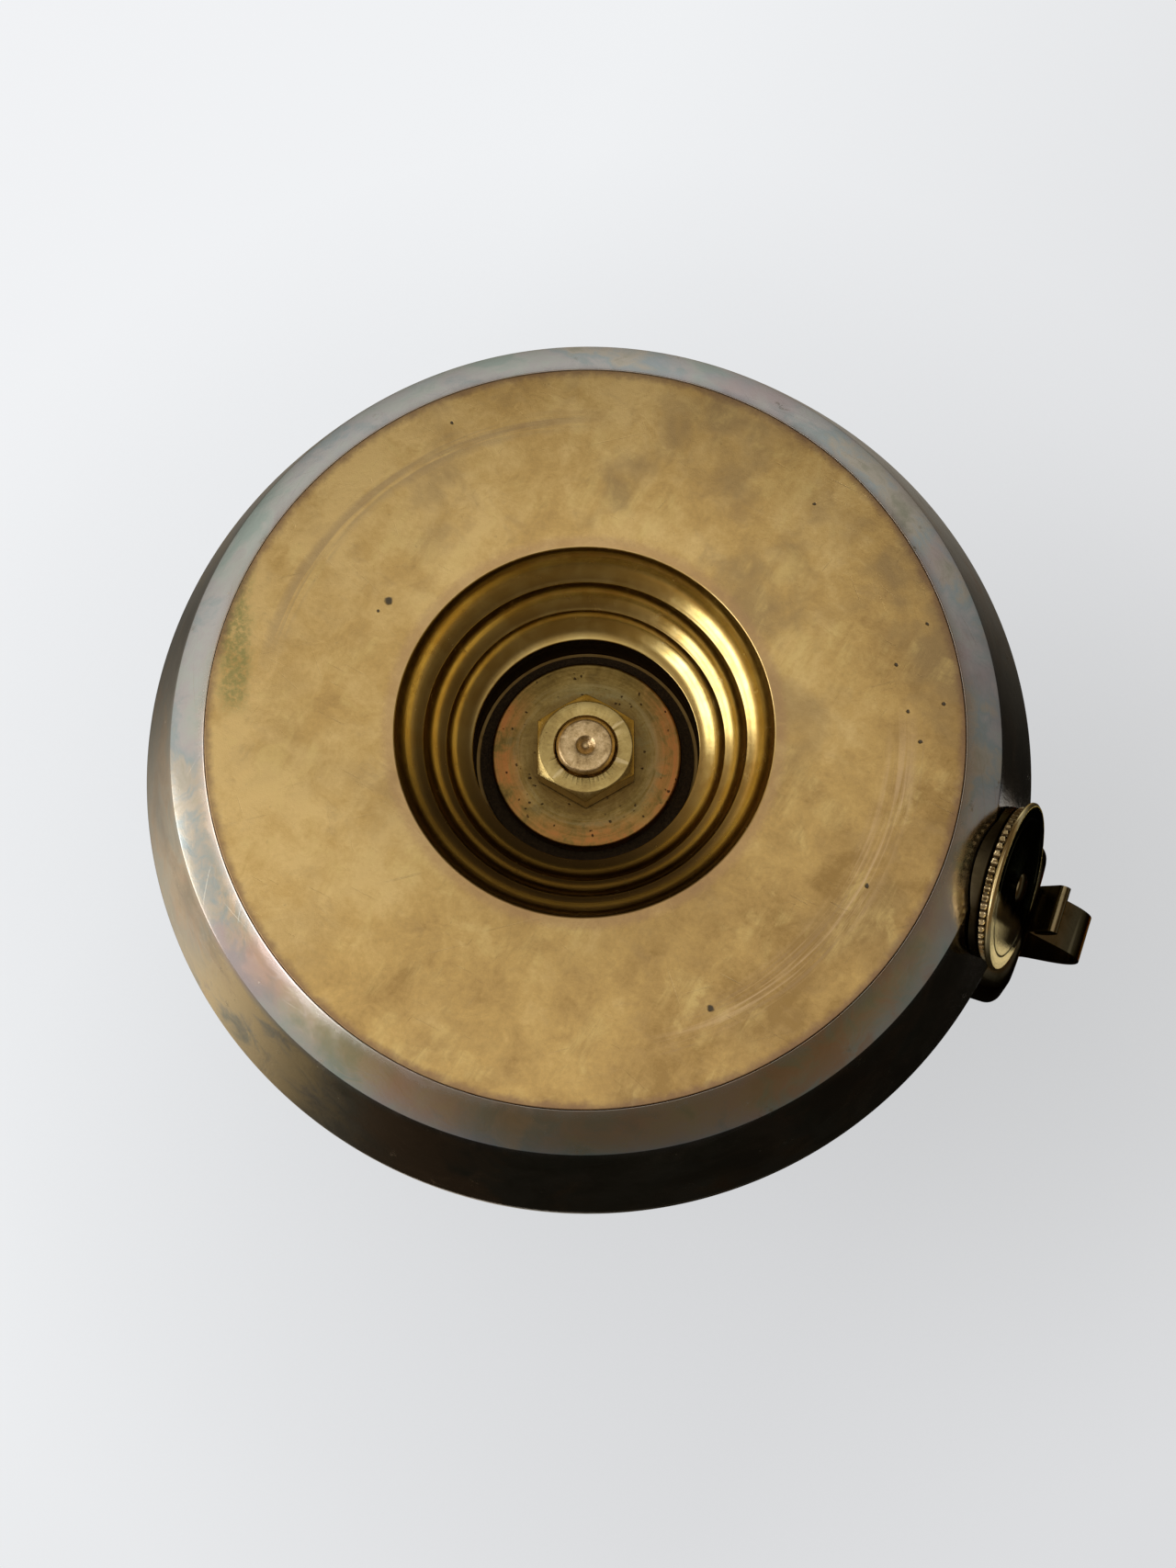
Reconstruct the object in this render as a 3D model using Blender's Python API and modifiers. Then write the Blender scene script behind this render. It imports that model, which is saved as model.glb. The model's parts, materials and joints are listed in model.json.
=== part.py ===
# Brass alcohol burner: a squat spun tank on a flat base with a stepped well,
# a tie rod that clamps the burner head, an annular wick with a turning air
# shutter, a flat-topped hinged snuffer, and a side filler held by a strap latch.
#
# Frame: +Z up, metres. The origin is the middle of the whole burner's footprint on
# the table, latch included; the tank's own axis stands AXIS_X from it along X.
# Pieces are drawn about the tank's axis in millimetres and scaled by MM. The snuffer's
# hinge is on the -X side; azimuths run from +X towards +Y.
import math

import bmesh
import bpy
from mathutils import Matrix, Vector

MM = 0.001
GAP = 0.3                      # clearance between neighbouring pieces
AXIS_X = -4.503                # tank axis, from the middle of the footprint

# Segments around turned pieces and rods
WIDE_STEPS = 36
STEPS = 24
PIN_STEPS = 16

# ---------------------------------------------------------------- tank
FLAT_R = 50.0                  # flat part of the base
EDGE_GAP = 0.15                # half the clearance between pan and shell at FLAT_R
BODY_R = 61.0                  # widest radius of the tank
BODY_Z = 21.6                  # height where the flaring wall reaches it
SEAM_Z = 22.3                  # seam between the two shells
BEVEL_EDGE = (55.2, 5.0)       # knee between the bevel and the flaring wall
SHOULDER_TOP = 58.0            # top of the neck flange
FLANGE_EDGE_R = 28.0           # where the shoulder meets the flat neck flange
NECK_HOLE_R = 17.6
SHEET = 1.0                    # shell thickness
PAN_SHEET = 1.2                # base thickness
LIP_R = 46.0                   # inner edge of the lower shell's lip
LIP_LOW = PAN_SHEET + GAP
LIP_TOP = LIP_LOW + SHEET

# stepped well: (radius, height) of the convex edges, from the rim inward
WELL_EDGES = [(25.0, 0.0), (21.5, 4.5), (18.65, 8.0), (15.25, 10.8)]
WELL_FLOOR = 17.8

# ---------------------------------------------------------------- tie rod
ROD_R = 4.0
ROD_BORE_R = ROD_R + 0.4       # hole for the rod in turned pieces
ROD_BOTTOM = 8.35
ROD_TOP = 95.8
NUT_AF = 13.0                  # across the flats
NUT_H = 4.4
HEAD_NUT_Z = 90.5
CLAMP_GASKET_LOW = WELL_FLOOR - 0.8
WASHER_R = 12.9
WASHER_LOW = 14.0

# ---------------------------------------------------------------- burner head
NECK_GASKET_LOW = SHOULDER_TOP + GAP
NECK_GASKET_TOP = NECK_GASKET_LOW + 1.0
COLLAR_Z = NECK_GASKET_TOP + GAP
COLLAR_R = 28.0
COLLAR_CHAMFER = 0.5
COLLAR_TOP = COLLAR_Z + 3.0    # top of the collar's flange
HEAD_SHEET = 1.0               # wall of the gallery, shutter and wick tubes
GALLERY_R = 21.0
GALLERY_TOP = 80.0
SHUTTER_R = 22.4
SHUTTER_Z = (63.0, 78.0)
SLOT_COUNT = 8
SLOT_W = 6.6
SLOT_Z = (66.5, 75.5)
TUBE_Z = (44.5, 86.0)
OUTER_TUBE_R = 16.0
INNER_TUBE_R = 12.0
WICK_TOP = 87.2
SPIDER_TOP = TUBE_Z[0] - GAP
SPIDER_T = 1.5
LEVER_AZ = 67.5                # azimuth of the shutter lever, degrees
LEVER_T = 1.0
KNOB_AT = 35.6                 # radius of the lever knob's axis

# ---------------------------------------------------------------- snuffer
SNUFFER_R = 23.5
SNUFFER_Z = (78.4, 98.2)
SNUFFER_ROOF = 1.2             # roof thickness
SNUFFER_EDGE = 0.35            # inset of the middle point of the top rim's rounding
WALL_GAP = 0.35                # from the snuffer's wall to its leaf and tab
TAB_T = 1.0
PIN_X = -27.0
PIN_Z = 79.0
PIN_R = 1.0
KNUCKLE_R = 2.9
BRACKET_HALF = 7.0             # half widths along Y
FORK_SLOT_HALF = 4.6
LEAF_HALF = 4.2

# ---------------------------------------------------------------- side filler
FILLER_AZ = 18.0               # azimuth, degrees
FILLER_TILT = 16.0             # axis dips below the horizontal, degrees
CAP_CENTRE = (60.5, 12.0)      # radius and height of the disc's outer face
# Heights below are along the filler's own outward axis, from that face.
DISC_R = 11.5
DISC_T = 0.8
CAP_R = 10.6
CAP_TOP = -DISC_T - GAP
CAP_LOW = CAP_TOP - 0.9
FLUTES = 40
FLUTE_DEPTH = 0.35
CAP_RIVET_R = 1.0
NECK_R = 10.3
NECK_FACE = CAP_LOW - GAP
NECK_TUBE_R = 9.0
NECK_BORE_R = 7.0
GASKET_SEAT_R = 8.2
GASKET_Z = (NECK_FACE - 0.6, NECK_FACE - 0.05)

# ---------------------------------------------------------------- feeder cords
FEEDER_R = 1.1
FEEDER_AT = 13.5               # radius where the cords pass the spider
FEEDER_AZIMUTHS = [math.radians(FILLER_AZ + 45 + 90 * k) for k in range(4)]

# ---------------------------------------------------------------- strap latch
BOSS_FACE = 64.2               # distance of the boss's flat face from the axis
BOSS_BACK = 48.0
BOSS_Z = (24.0, 47.6)
BOSS_HALF = 10.8
PIVOT_Z = 43.5
PIVOT_BORE_R = 1.6
LATCH_RIVET_R = 1.25
STRAP_T = 0.5
STRAP_W = 6.5
STRAP_X = BOSS_FACE + GAP + STRAP_T / 2    # mid-thickness of the strap's foot
# (radius, height) points of the strap
FOOT_END = (STRAP_X, 40.4)     # lower end of its straight foot
BOW = (72.3, 31.8)             # outermost bend
CONTACT = (63.95, 21.9)        # bend that bears on the disc's upper rim
TAB = (66.3, 17.4)             # finger tab
ROLL_R = 0.62                  # roll at the end of the tab


# ================================================================ curves
def bezier(start, handle_1, handle_2, end, count):
    """Points of a cubic curve, both ends included."""
    points = []
    for i in range(count + 1):
        t = i / count
        weights = ((1 - t) ** 3, 3 * t * (1 - t) ** 2, 3 * t * t * (1 - t), t ** 3)
        points.append(tuple(
            sum(weight * point[axis]
                for weight, point in zip(weights, (start, handle_1, handle_2, end)))
            for axis in (0, 1)))
    return points


def offset(points, distance):
    """Move an open (radius, height) polyline along its left-hand normals."""
    moved = []
    for i, (x, z) in enumerate(points):
        x0, z0 = points[max(i - 1, 0)]
        x1, z1 = points[min(i + 1, len(points) - 1)]
        length = math.hypot(x1 - x0, z1 - z0)
        moved.append((x - (z1 - z0) / length * distance, z + (x1 - x0) / length * distance))
    return moved


def arc(x, z, radius, start, stop, count):
    """Points of an arc about (x, z), angles in degrees, both ends included."""
    angles = [math.radians(start + (stop - start) * i / count) for i in range(count + 1)]
    return [(x + radius * math.cos(angle), z + radius * math.sin(angle)) for angle in angles]


def arc_corner(before, corner, after, radius, count):
    """Arc of the given radius that rounds a corner of a polyline."""
    corner = Vector(corner)
    to_before = (Vector(before) - corner).normalized()
    to_after = (Vector(after) - corner).normalized()
    half = math.acos(to_before.dot(to_after)) / 2
    reach = radius / math.tan(half)
    centre = corner + (to_before + to_after).normalized() * (radius / math.sin(half))
    first = corner + to_before * reach - centre
    last = corner + to_after * reach - centre
    start = math.atan2(first.y, first.x)
    sweep = (math.atan2(last.y, last.x) - start + math.pi) % math.tau - math.pi
    angles = [start + sweep * i / count for i in range(count + 1)]
    return [(centre.x + radius * math.cos(angle), centre.y + radius * math.sin(angle))
            for angle in angles]


def round_rect(half, low, high, radius, count):
    """Rounded rectangle in (y, z), symmetric about y = 0."""
    y = half - radius
    corners = [(y, high - radius, 0), (-y, high - radius, 90),
               (-y, low + radius, 180), (y, low + radius, 270)]
    points = []
    for corner_y, corner_z, start in corners:
        points += arc(corner_y, corner_z, radius, start, start + 90, count)
    return points


def clockwise(points):
    """Order a closed profile so that its outer side runs downwards."""
    area = sum(x0 * z1 - x1 * z0
               for (x0, z0), (x1, z1) in zip(points, points[1:] + points[:1]))
    return points[::-1] if area > 0 else points


def radius_at(curve, height):
    """Radius of a rising curve at a height within its range."""
    for (x0, z0), (x1, z1) in zip(curve, curve[1:]):
        if z0 <= height <= z1:
            return x0 + (x1 - x0) * (height - z0) / (z1 - z0)


# ================================================================ making pieces
def clear_scene():
    for item in list(bpy.data.objects):
        bpy.data.objects.remove(item, do_unlink=True)


def new_collection(name):
    collection = bpy.data.collections.new(name)
    bpy.context.scene.collection.children.link(collection)
    return collection


def finish(piece, mat):
    """Link a piece, with its material and smooth shading; no material makes it a cutter."""
    if mat is None:
        cutters.objects.link(piece)
        piece.hide_render = True
        piece.display_type = "WIRE"
    else:
        parts.objects.link(piece)
        piece.data.materials.clear()
        piece.data.materials.append(mat)
        piece.data.shade_smooth()
        piece.data.set_sharp_from_angle(angle=math.radians(35))
    return piece


def to_piece(name, shape, mat):
    """Turn a bmesh into a finished object."""
    mesh = bpy.data.meshes.new(name)
    shape.to_mesh(mesh)
    shape.free()
    return finish(bpy.data.objects.new(name, mesh), mat)


def turned(name, profile, mat, steps=STEPS, closed=True):
    """Revolve a profile of (radius, height) about the local Z axis."""
    points = clockwise(profile) if closed else profile
    shape = bmesh.new()
    verts = [shape.verts.new((x * MM, 0.0, z * MM)) for x, z in points]
    for pair in zip(verts, verts[1:]):
        shape.edges.new(pair)
    if closed:
        shape.edges.new((verts[-1], verts[0]))
    piece = to_piece(name, shape, mat)
    screw = piece.modifiers.new("turn", "SCREW")
    screw.axis = "Z"
    screw.angle = math.tau
    screw.steps = steps
    screw.render_steps = steps
    screw.use_merge_vertices = True
    screw.merge_threshold = 0.00001
    screw.use_smooth_shade = True
    return piece


def sleeve(name, outer, inner, low, high, mat):
    """Plain ring or tube about the local Z axis."""
    return turned(name, [(outer, high), (outer, low), (inner, low), (inner, high)], mat)


def add_box(shape, size, centre, turn=0.0):
    """Add a box to a bmesh, turned about Z before it is moved to its centre."""
    verts = bmesh.ops.create_cube(shape, size=1.0)["verts"]
    bmesh.ops.scale(shape, vec=Vector(size) * MM, verts=verts)
    bmesh.ops.rotate(shape, cent=(0, 0, 0), verts=verts, matrix=Matrix.Rotation(turn, 3, "Z"))
    bmesh.ops.translate(shape, vec=Vector(centre) * MM, verts=verts)


def box_cutter(name, low, high):
    """Box between two corners."""
    low, high = Vector(low), Vector(high)
    shape = bmesh.new()
    add_box(shape, high - low, (low + high) / 2)
    return to_piece(name, shape, None)


def rod(name, radius, start, end, mat=None, segments=STEPS):
    """Closed cylinder from one point to another; a cutter unless given a material."""
    start, end = Vector(start) * MM, Vector(end) * MM
    shape = bmesh.new()
    bmesh.ops.create_cone(shape, cap_ends=True, cap_tris=False, segments=segments,
                          radius1=radius * MM, radius2=radius * MM, depth=(end - start).length)
    turn = Vector((0, 0, 1)).rotation_difference(end - start).to_matrix().to_4x4()
    bmesh.ops.transform(shape, matrix=Matrix.Translation((start + end) / 2) @ turn,
                        verts=shape.verts)
    return to_piece(name, shape, mat)


def extrude_face(shape, points, move):
    """Extrude a flat face through the given points by a vector, both in metres."""
    face = shape.faces.new([shape.verts.new(point) for point in points])
    extruded = bmesh.ops.extrude_face_region(shape, geom=[face])["geom"]
    moved = [item for item in extruded if isinstance(item, bmesh.types.BMVert)]
    bmesh.ops.translate(shape, vec=move, verts=moved)
    bmesh.ops.recalc_face_normals(shape, faces=shape.faces)


def plate(name, outline, depth, mat, edge=0.0):
    """Extrude a closed (y, z) outline along +X from x = 0, rounding its far rim."""
    shape = bmesh.new()
    extrude_face(shape, [(0.0, y * MM, z * MM) for y, z in outline], (depth * MM, 0.0, 0.0))
    if edge > 0:
        rim = [line for line in shape.edges
               if all(vert.co.x > (depth - 0.001) * MM for vert in line.verts)]
        bmesh.ops.bevel(shape, geom=rim, offset=edge * MM, segments=3,
                        profile=0.5, affect="EDGES")
    return to_piece(name, shape, mat)


def plate_across(name, outline, half, mat):
    """Plate with its outline in (x, z), centred on y = 0."""
    piece = plate(name, outline, 2 * half, mat)
    piece.matrix_world = (Matrix.Translation((0, half * MM, 0))
                          @ Matrix.Rotation(math.radians(-90), 4, "Z"))
    return piece


def ribbon(name, path, width, thickness, mat):
    """Bent strip: an open ribbon along (x, z) points, thickened with Solidify."""
    shape = bmesh.new()
    verts = [shape.verts.new((x * MM, -width / 2 * MM, z * MM)) for x, z in path]
    edges = [shape.edges.new(pair) for pair in zip(verts, verts[1:])]
    extruded = bmesh.ops.extrude_edge_only(shape, edges=edges)["geom"]
    moved = [item for item in extruded if isinstance(item, bmesh.types.BMVert)]
    bmesh.ops.translate(shape, vec=(0.0, width * MM, 0.0), verts=moved)
    bmesh.ops.recalc_face_normals(shape, faces=shape.faces)
    piece = to_piece(name, shape, mat)
    solidify = piece.modifiers.new("sheet", "SOLIDIFY")
    solidify.thickness = thickness * MM
    solidify.offset = 0.0
    solidify.use_even_offset = True
    return piece


def boolean(piece, other, operation="DIFFERENCE"):
    modifier = piece.modifiers.new(operation.lower(), "BOOLEAN")
    modifier.operation = operation
    modifier.solver = "EXACT"
    modifier.object = other
    return modifier


# ================================================================ materials
def material(name, color, roughness, metallic):
    mat = bpy.data.materials.new(name)
    mat.use_nodes = True
    shader = mat.node_tree.nodes.get("Principled BSDF")
    shader.inputs["Base Color"].default_value = (*color, 1.0)
    shader.inputs["Roughness"].default_value = roughness
    shader.inputs["Metallic"].default_value = metallic
    return mat


clear_scene()
parts = new_collection("alcohol_burner")
cutters = new_collection("cutters")

RAW_BRASS = material("raw_brass", color=(0.60, 0.45, 0.20), roughness=0.42, metallic=1.0)
DARK_BRASS = material("dark_brass", color=(0.36, 0.29, 0.17), roughness=0.20, metallic=1.0)
BRIGHT_BRASS = material("bright_brass", color=(0.72, 0.57, 0.28), roughness=0.25, metallic=1.0)
STAINED_BRASS = material("stained_brass", color=(0.50, 0.32, 0.20), roughness=0.38, metallic=1.0)
STEEL = material("rod_steel", color=(0.55, 0.50, 0.45), roughness=0.30, metallic=1.0)
FIBRE = material("gasket_fibre", color=(0.05, 0.035, 0.025), roughness=0.85, metallic=0.0)
COTTON = material("cotton", color=(0.80, 0.76, 0.66), roughness=0.95, metallic=0.0)
WOOD = material("knob_hardwood", color=(0.10, 0.055, 0.03), roughness=0.50, metallic=0.0)

# ================================================================ tank
# The tank's outer curve, from the base edge up to the neck flange.
LOWER_CURVE = bezier((FLAT_R + EDGE_GAP, 0.10), (51.8, 1.55), (53.9, 3.55), BEVEL_EDGE, 12)
LOWER_CURVE += bezier(BEVEL_EDGE, (56.6, 8.6), (59.6, 17.4), (BODY_R, BODY_Z), 16)[1:]
UPPER_CURVE = bezier((BODY_R, BODY_Z), (BODY_R, 44.0), (50.0, SHOULDER_TOP),
                     (FLANGE_EDGE_R, SHOULDER_TOP), 60)

# Points of the curves that the turned pieces use
LOWER_POINTS = [LOWER_CURVE[i] for i in (0, 6, 12, 17, 22, 28)]
SHOULDER_HEIGHTS = [30.0, 37.0, 43.0, 48.0, 52.0, 55.2, 57.3]


def upper_points(heights):
    return [(radius_at(UPPER_CURVE, z), z) for z in heights]


def cove(outer, inner, count=3):
    """Shallow concave curve, halfway between a cone and a quarter ellipse."""
    (x0, z0), (x1, z1) = outer, inner
    points = []
    for i in range(1, count + 1):
        angle, part = math.radians(90 * i / count), i / count
        ellipse = (x1 + (x0 - x1) * math.cos(angle), z0 + (z1 - z0) * math.sin(angle))
        cone = (x0 + (x1 - x0) * part, z0 + (z1 - z0) * part)
        points.append(((ellipse[0] + cone[0]) / 2, (ellipse[1] + cone[1]) / 2))
    return points


def build_base_pan():
    """Flat ring, stepped well with a cove under each edge, and a floor."""
    rim_r = FLAT_R - EDGE_GAP
    well_r = WELL_EDGES[-1][0]
    wall_r = well_r + 1.25
    floor_top = WELL_FLOOR + PAN_SHEET
    under = [(rim_r, 0.0), WELL_EDGES[0]]
    for outer, inner in zip(WELL_EDGES, WELL_EDGES[1:]):
        under += cove(outer, inner)
    under += [(well_r, WELL_FLOOR), (ROD_BORE_R, WELL_FLOOR)]
    top = [(ROD_BORE_R, floor_top), (wall_r, floor_top), (wall_r, 12.2),
           (19.9, 9.2), (22.8, 5.7), (26.2, PAN_SHEET), (rim_r, PAN_SHEET)]
    turned("base_pan", under + top, RAW_BRASS, WIDE_STEPS)


def build_lower_shell():
    """Lip over the pan, bevel, and flaring wall up to the seam."""
    top = SEAM_Z - GAP / 2
    outside = LOWER_POINTS + upper_points([top])
    inside = offset(outside[1:], SHEET)
    inside[-1] = (outside[-1][0] - SHEET, top)
    # leave out inner points that come too close to the lip
    inside = [(x, z) for x, z in inside if z > LIP_TOP + 0.6]
    lip = [(FLAT_R + EDGE_GAP, LIP_LOW), (LIP_R, LIP_LOW), (LIP_R, LIP_TOP), (50.8, LIP_TOP)]
    return turned("lower_shell", outside[::-1] + lip + inside, DARK_BRASS, WIDE_STEPS)


def build_upper_shell():
    """Shoulder curving in to the flat neck flange."""
    under = SHOULDER_TOP - SHEET
    curved = upper_points([SEAM_Z + GAP / 2] + SHOULDER_HEIGHTS)
    curved.append((FLANGE_EDGE_R, SHOULDER_TOP))
    inside = offset(curved, SHEET)
    inside[0] = (curved[0][0] - SHEET, curved[0][1])
    inside[-1] = (FLANGE_EDGE_R, under)
    # leave out inner points that rise above the flange's underside
    inside = [(x, z) for x, z in inside if z <= under + 1e-6]
    hole = [(NECK_HOLE_R, SHOULDER_TOP), (NECK_HOLE_R, under)]
    turned("upper_shell", curved + hole + inside[::-1], DARK_BRASS, WIDE_STEPS)


def build_body_form():
    """Tank outline swollen by the clearance, which seats the filler neck and latch boss."""
    outline = LOWER_POINTS + upper_points([SEAM_Z] + SHOULDER_HEIGHTS[:-1])
    outline = [(x + GAP, z) for x, z in outline]
    profile = [(0.0, 56.5)] + outline[::-1] + [(outline[0][0], -1.0), (0.0, -1.0)]
    return turned("body_form", profile, None, WIDE_STEPS * 2, closed=False)


# ================================================================ tie rod and clamp
def build_clamp():
    """Gasket and washer under the well floor."""
    sleeve("clamp_gasket", 14.6, ROD_R + 0.5, CLAMP_GASKET_LOW, WELL_FLOOR - GAP, FIBRE)
    top = CLAMP_GASKET_LOW - GAP
    chamfer = 0.3
    turned("clamp_washer", [(WASHER_R, top), (WASHER_R, WASHER_LOW + chamfer),
                            (WASHER_R - chamfer, WASHER_LOW), (ROD_BORE_R, WASHER_LOW),
                            (ROD_BORE_R, top)], STAINED_BRASS)


def build_tie_rod():
    """Rod with chamfered ends and a conical dimple underneath."""
    turned("tie_rod", [(0.0, ROD_TOP), (ROD_R - 0.8, ROD_TOP), (ROD_R, ROD_TOP - 0.8),
                       (ROD_R, ROD_BOTTOM + 0.5), (ROD_R - 0.5, ROD_BOTTOM),
                       (1.3, ROD_BOTTOM), (0.0, ROD_BOTTOM + 0.9)], STEEL, closed=False)


def build_nut(name, low, face_down):
    """Hexagon with a corner on +Y, chamfered on its lower or upper face, bored for the rod."""
    high = low + NUT_H
    corner_r = NUT_AF / math.sqrt(3) * MM
    shape = bmesh.new()
    bmesh.ops.create_cone(shape, cap_ends=True, cap_tris=False, segments=6,
                          radius1=corner_r, radius2=corner_r, depth=NUT_H * MM)
    # turn the hexagon so that its flats face +X and -X and a corner points to +Y
    angle = min((math.atan2(vert.co.y, vert.co.x) for vert in shape.verts), key=abs)
    bmesh.ops.rotate(shape, cent=(0, 0, 0), verts=shape.verts,
                     matrix=Matrix.Rotation(math.radians(90) - angle, 3, "Z"))
    bmesh.ops.translate(shape, vec=(0, 0, (low + NUT_H / 2) * MM), verts=shape.verts)
    nut = to_piece(name, shape, BRIGHT_BRASS)
    # conical envelope that chamfers the corners
    face_r = NUT_AF / 2 * 0.955
    wide_r = NUT_AF / 2 * 1.35
    rise = (wide_r - face_r) * math.tan(math.radians(30))
    if face_down:
        cone = [(0, high + 1), (wide_r, high + 1), (wide_r, low + rise), (face_r, low), (0, low)]
    else:
        cone = [(0, high), (face_r, high), (wide_r, high - rise), (wide_r, low - 1), (0, low - 1)]
    boolean(nut, turned(name + "_envelope", cone, None, closed=False), "INTERSECT")
    boolean(nut, rod(name + "_bore", ROD_R + GAP, (0, 0, low - 2), (0, 0, high + 2)))


# ================================================================ burner head
def build_collar():
    sleeve("neck_gasket", 27.0, 18.0, NECK_GASKET_LOW, NECK_GASKET_TOP, FIBRE)
    bore_r = OUTER_TUBE_R + 0.4
    hub_r = bore_r + 3.0
    hub_top = 66.0
    rim_r = COLLAR_R - COLLAR_CHAMFER
    turned("burner_collar", [(COLLAR_R, COLLAR_TOP - COLLAR_CHAMFER),
                             (COLLAR_R, COLLAR_Z + COLLAR_CHAMFER), (rim_r, COLLAR_Z),
                             (bore_r, COLLAR_Z), (bore_r, hub_top), (hub_r, hub_top),
                             (hub_r, COLLAR_TOP), (rim_r, COLLAR_TOP)], BRIGHT_BRASS)


def cut_slots(drum, radius):
    """Cut evenly spaced air slots through a thin drum; each bar cuts two of them."""
    shape = bmesh.new()
    for k in range(SLOT_COUNT // 2):
        add_box(shape, (radius * 2 + 8, SLOT_W, SLOT_Z[1] - SLOT_Z[0]),
                (0, 0, sum(SLOT_Z) / 2), turn=math.tau * k / SLOT_COUNT)
    # the bars cross one another
    boolean(drum, to_piece(drum.name + "_slots", shape, None)).use_self = True


def build_gallery():
    low = COLLAR_TOP + GAP
    inner_r = GALLERY_R - HEAD_SHEET
    under = GALLERY_TOP - HEAD_SHEET
    hole_r = 18.0
    gallery = turned("draft_gallery", [(GALLERY_R, GALLERY_TOP), (GALLERY_R, low),
                                       (inner_r, low), (inner_r, under), (hole_r, under),
                                       (hole_r, GALLERY_TOP)], BRIGHT_BRASS)
    cut_slots(gallery, GALLERY_R)


def build_shutter():
    """Slotted drum around the gallery, with a bent lever and its knob."""
    shutter = sleeve("air_shutter", SHUTTER_R, SHUTTER_R - HEAD_SHEET, *SHUTTER_Z, BRIGHT_BRASS)
    cut_slots(shutter, SHUTTER_R)

    azimuth = math.radians(LEVER_AZ)
    lever_x = SHUTTER_R + GAP + LEVER_T / 2
    path = [(lever_x, 74.5), (lever_x, 67.6), (23.9, 66.5), (25.0, 66.0), (38.5, 66.0)]
    lever = ribbon("shutter_lever", path, 5.0, LEVER_T, BRIGHT_BRASS)
    lever.rotation_euler = (0, 0, azimuth)

    # (radius, height) of the knob, from its top down
    profile = [(0.0, 73.4), (1.6, 73.1), (2.9, 71.9), (3.2, 70.3), (2.5, 68.7),
               (1.7, 67.7), (2.2, 66.8), (0.0, 66.8)]
    knob = turned("lever_knob", profile, WOOD, PIN_STEPS, closed=False)
    knob.location = Matrix.Rotation(azimuth, 3, "Z") @ Vector((KNOB_AT * MM, 0, 0))


def build_wick():
    """Annular wick between its two tubes."""
    low, high = TUBE_Z
    sleeve("outer_wick_tube", OUTER_TUBE_R, OUTER_TUBE_R - HEAD_SHEET, low, high, BRIGHT_BRASS)
    sleeve("inner_wick_tube", INNER_TUBE_R, INNER_TUBE_R - HEAD_SHEET, low, high - 1.5,
           BRIGHT_BRASS)
    sleeve("wick", OUTER_TUBE_R - HEAD_SHEET - GAP, INNER_TUBE_R + GAP, low, WICK_TOP, COTTON)


def build_spider():
    """Disc under the wick tubes, with a hole for each feeder cord."""
    spider = sleeve("wick_spider", OUTER_TUBE_R, ROD_BORE_R, SPIDER_TOP - SPIDER_T, SPIDER_TOP,
                    BRIGHT_BRASS)
    for number, azimuth in enumerate(FEEDER_AZIMUTHS, 1):
        x, y = FEEDER_AT * math.cos(azimuth), FEEDER_AT * math.sin(azimuth)
        boolean(spider, rod("spider_hole_%d" % number, FEEDER_R + 0.35, (x, y, 41), (x, y, 46),
                            segments=12))


def feeder_mesh():
    """One cord in the XZ plane, as a mesh made from a bevelled curve."""
    bend = (FEEDER_AT, 41.2)
    path = [(FEEDER_AT, SPIDER_TOP)]
    path += bezier(bend, (FEEDER_AT, 30.0), (31.0, 30.0), (32.0, 3.4), 8)
    data = bpy.data.curves.new("feeder_path", "CURVE")
    data.dimensions = "3D"
    data.bevel_depth = FEEDER_R * MM
    data.bevel_resolution = 1
    data.use_fill_caps = True
    spline = data.splines.new("POLY")
    spline.points.add(len(path) - 1)
    for point, (x, z) in zip(spline.points, path):
        point.co = (x * MM, 0.0, z * MM, 1.0)
    curve = bpy.data.objects.new("feeder_path", data)
    parts.objects.link(curve)
    bpy.context.view_layer.update()
    depsgraph = bpy.context.evaluated_depsgraph_get()
    mesh = bpy.data.meshes.new_from_object(curve.evaluated_get(depsgraph))
    bpy.data.objects.remove(curve, do_unlink=True)
    # join the end caps to the tube
    shape = bmesh.new()
    shape.from_mesh(mesh)
    bmesh.ops.remove_doubles(shape, verts=shape.verts, dist=0.00001)
    bmesh.ops.recalc_face_normals(shape, faces=shape.faces)
    shape.to_mesh(mesh)
    shape.free()
    return mesh


def build_feeder_cords():
    """Cords from the wick's foot, through the spider, down to the tank floor."""
    mesh = feeder_mesh()
    for number, azimuth in enumerate(FEEDER_AZIMUTHS, 1):
        cord = bpy.data.objects.new("feeder_cord_%d" % number, mesh.copy())
        cord.matrix_world = Matrix.Rotation(azimuth, 4, "Z")
        finish(cord, COTTON)


def build_flame_spreader():
    low, high = 84.8, 90.2
    turned("flame_spreader", [(15.4, high), (15.4, 89.5), (8.0, 88.3), (7.2, 86.4), (11.6, 85.9),
                              (11.6, low), (ROD_BORE_R, low), (ROD_BORE_R, high)], BRIGHT_BRASS)


# ================================================================ snuffer and its hinge
def build_snuffer_cap():
    low, top = SNUFFER_Z
    inner_r = SNUFFER_R - 1.0
    under = top - SNUFFER_ROOF
    turned("snuffer_cap", [(0.0, top), (SNUFFER_R - 1.2, top),
                           (SNUFFER_R - SNUFFER_EDGE, top - SNUFFER_EDGE),
                           (SNUFFER_R, top - 1.2), (SNUFFER_R, low), (inner_r, low),
                           (inner_r, under), (0.0, under)], DARK_BRASS, WIDE_STEPS, closed=False)


def bore_for_pin(piece, name):
    boolean(piece, rod(name, PIN_R + GAP, (PIN_X, -9, PIN_Z), (PIN_X, 9, PIN_Z),
                       segments=PIN_STEPS))


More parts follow.
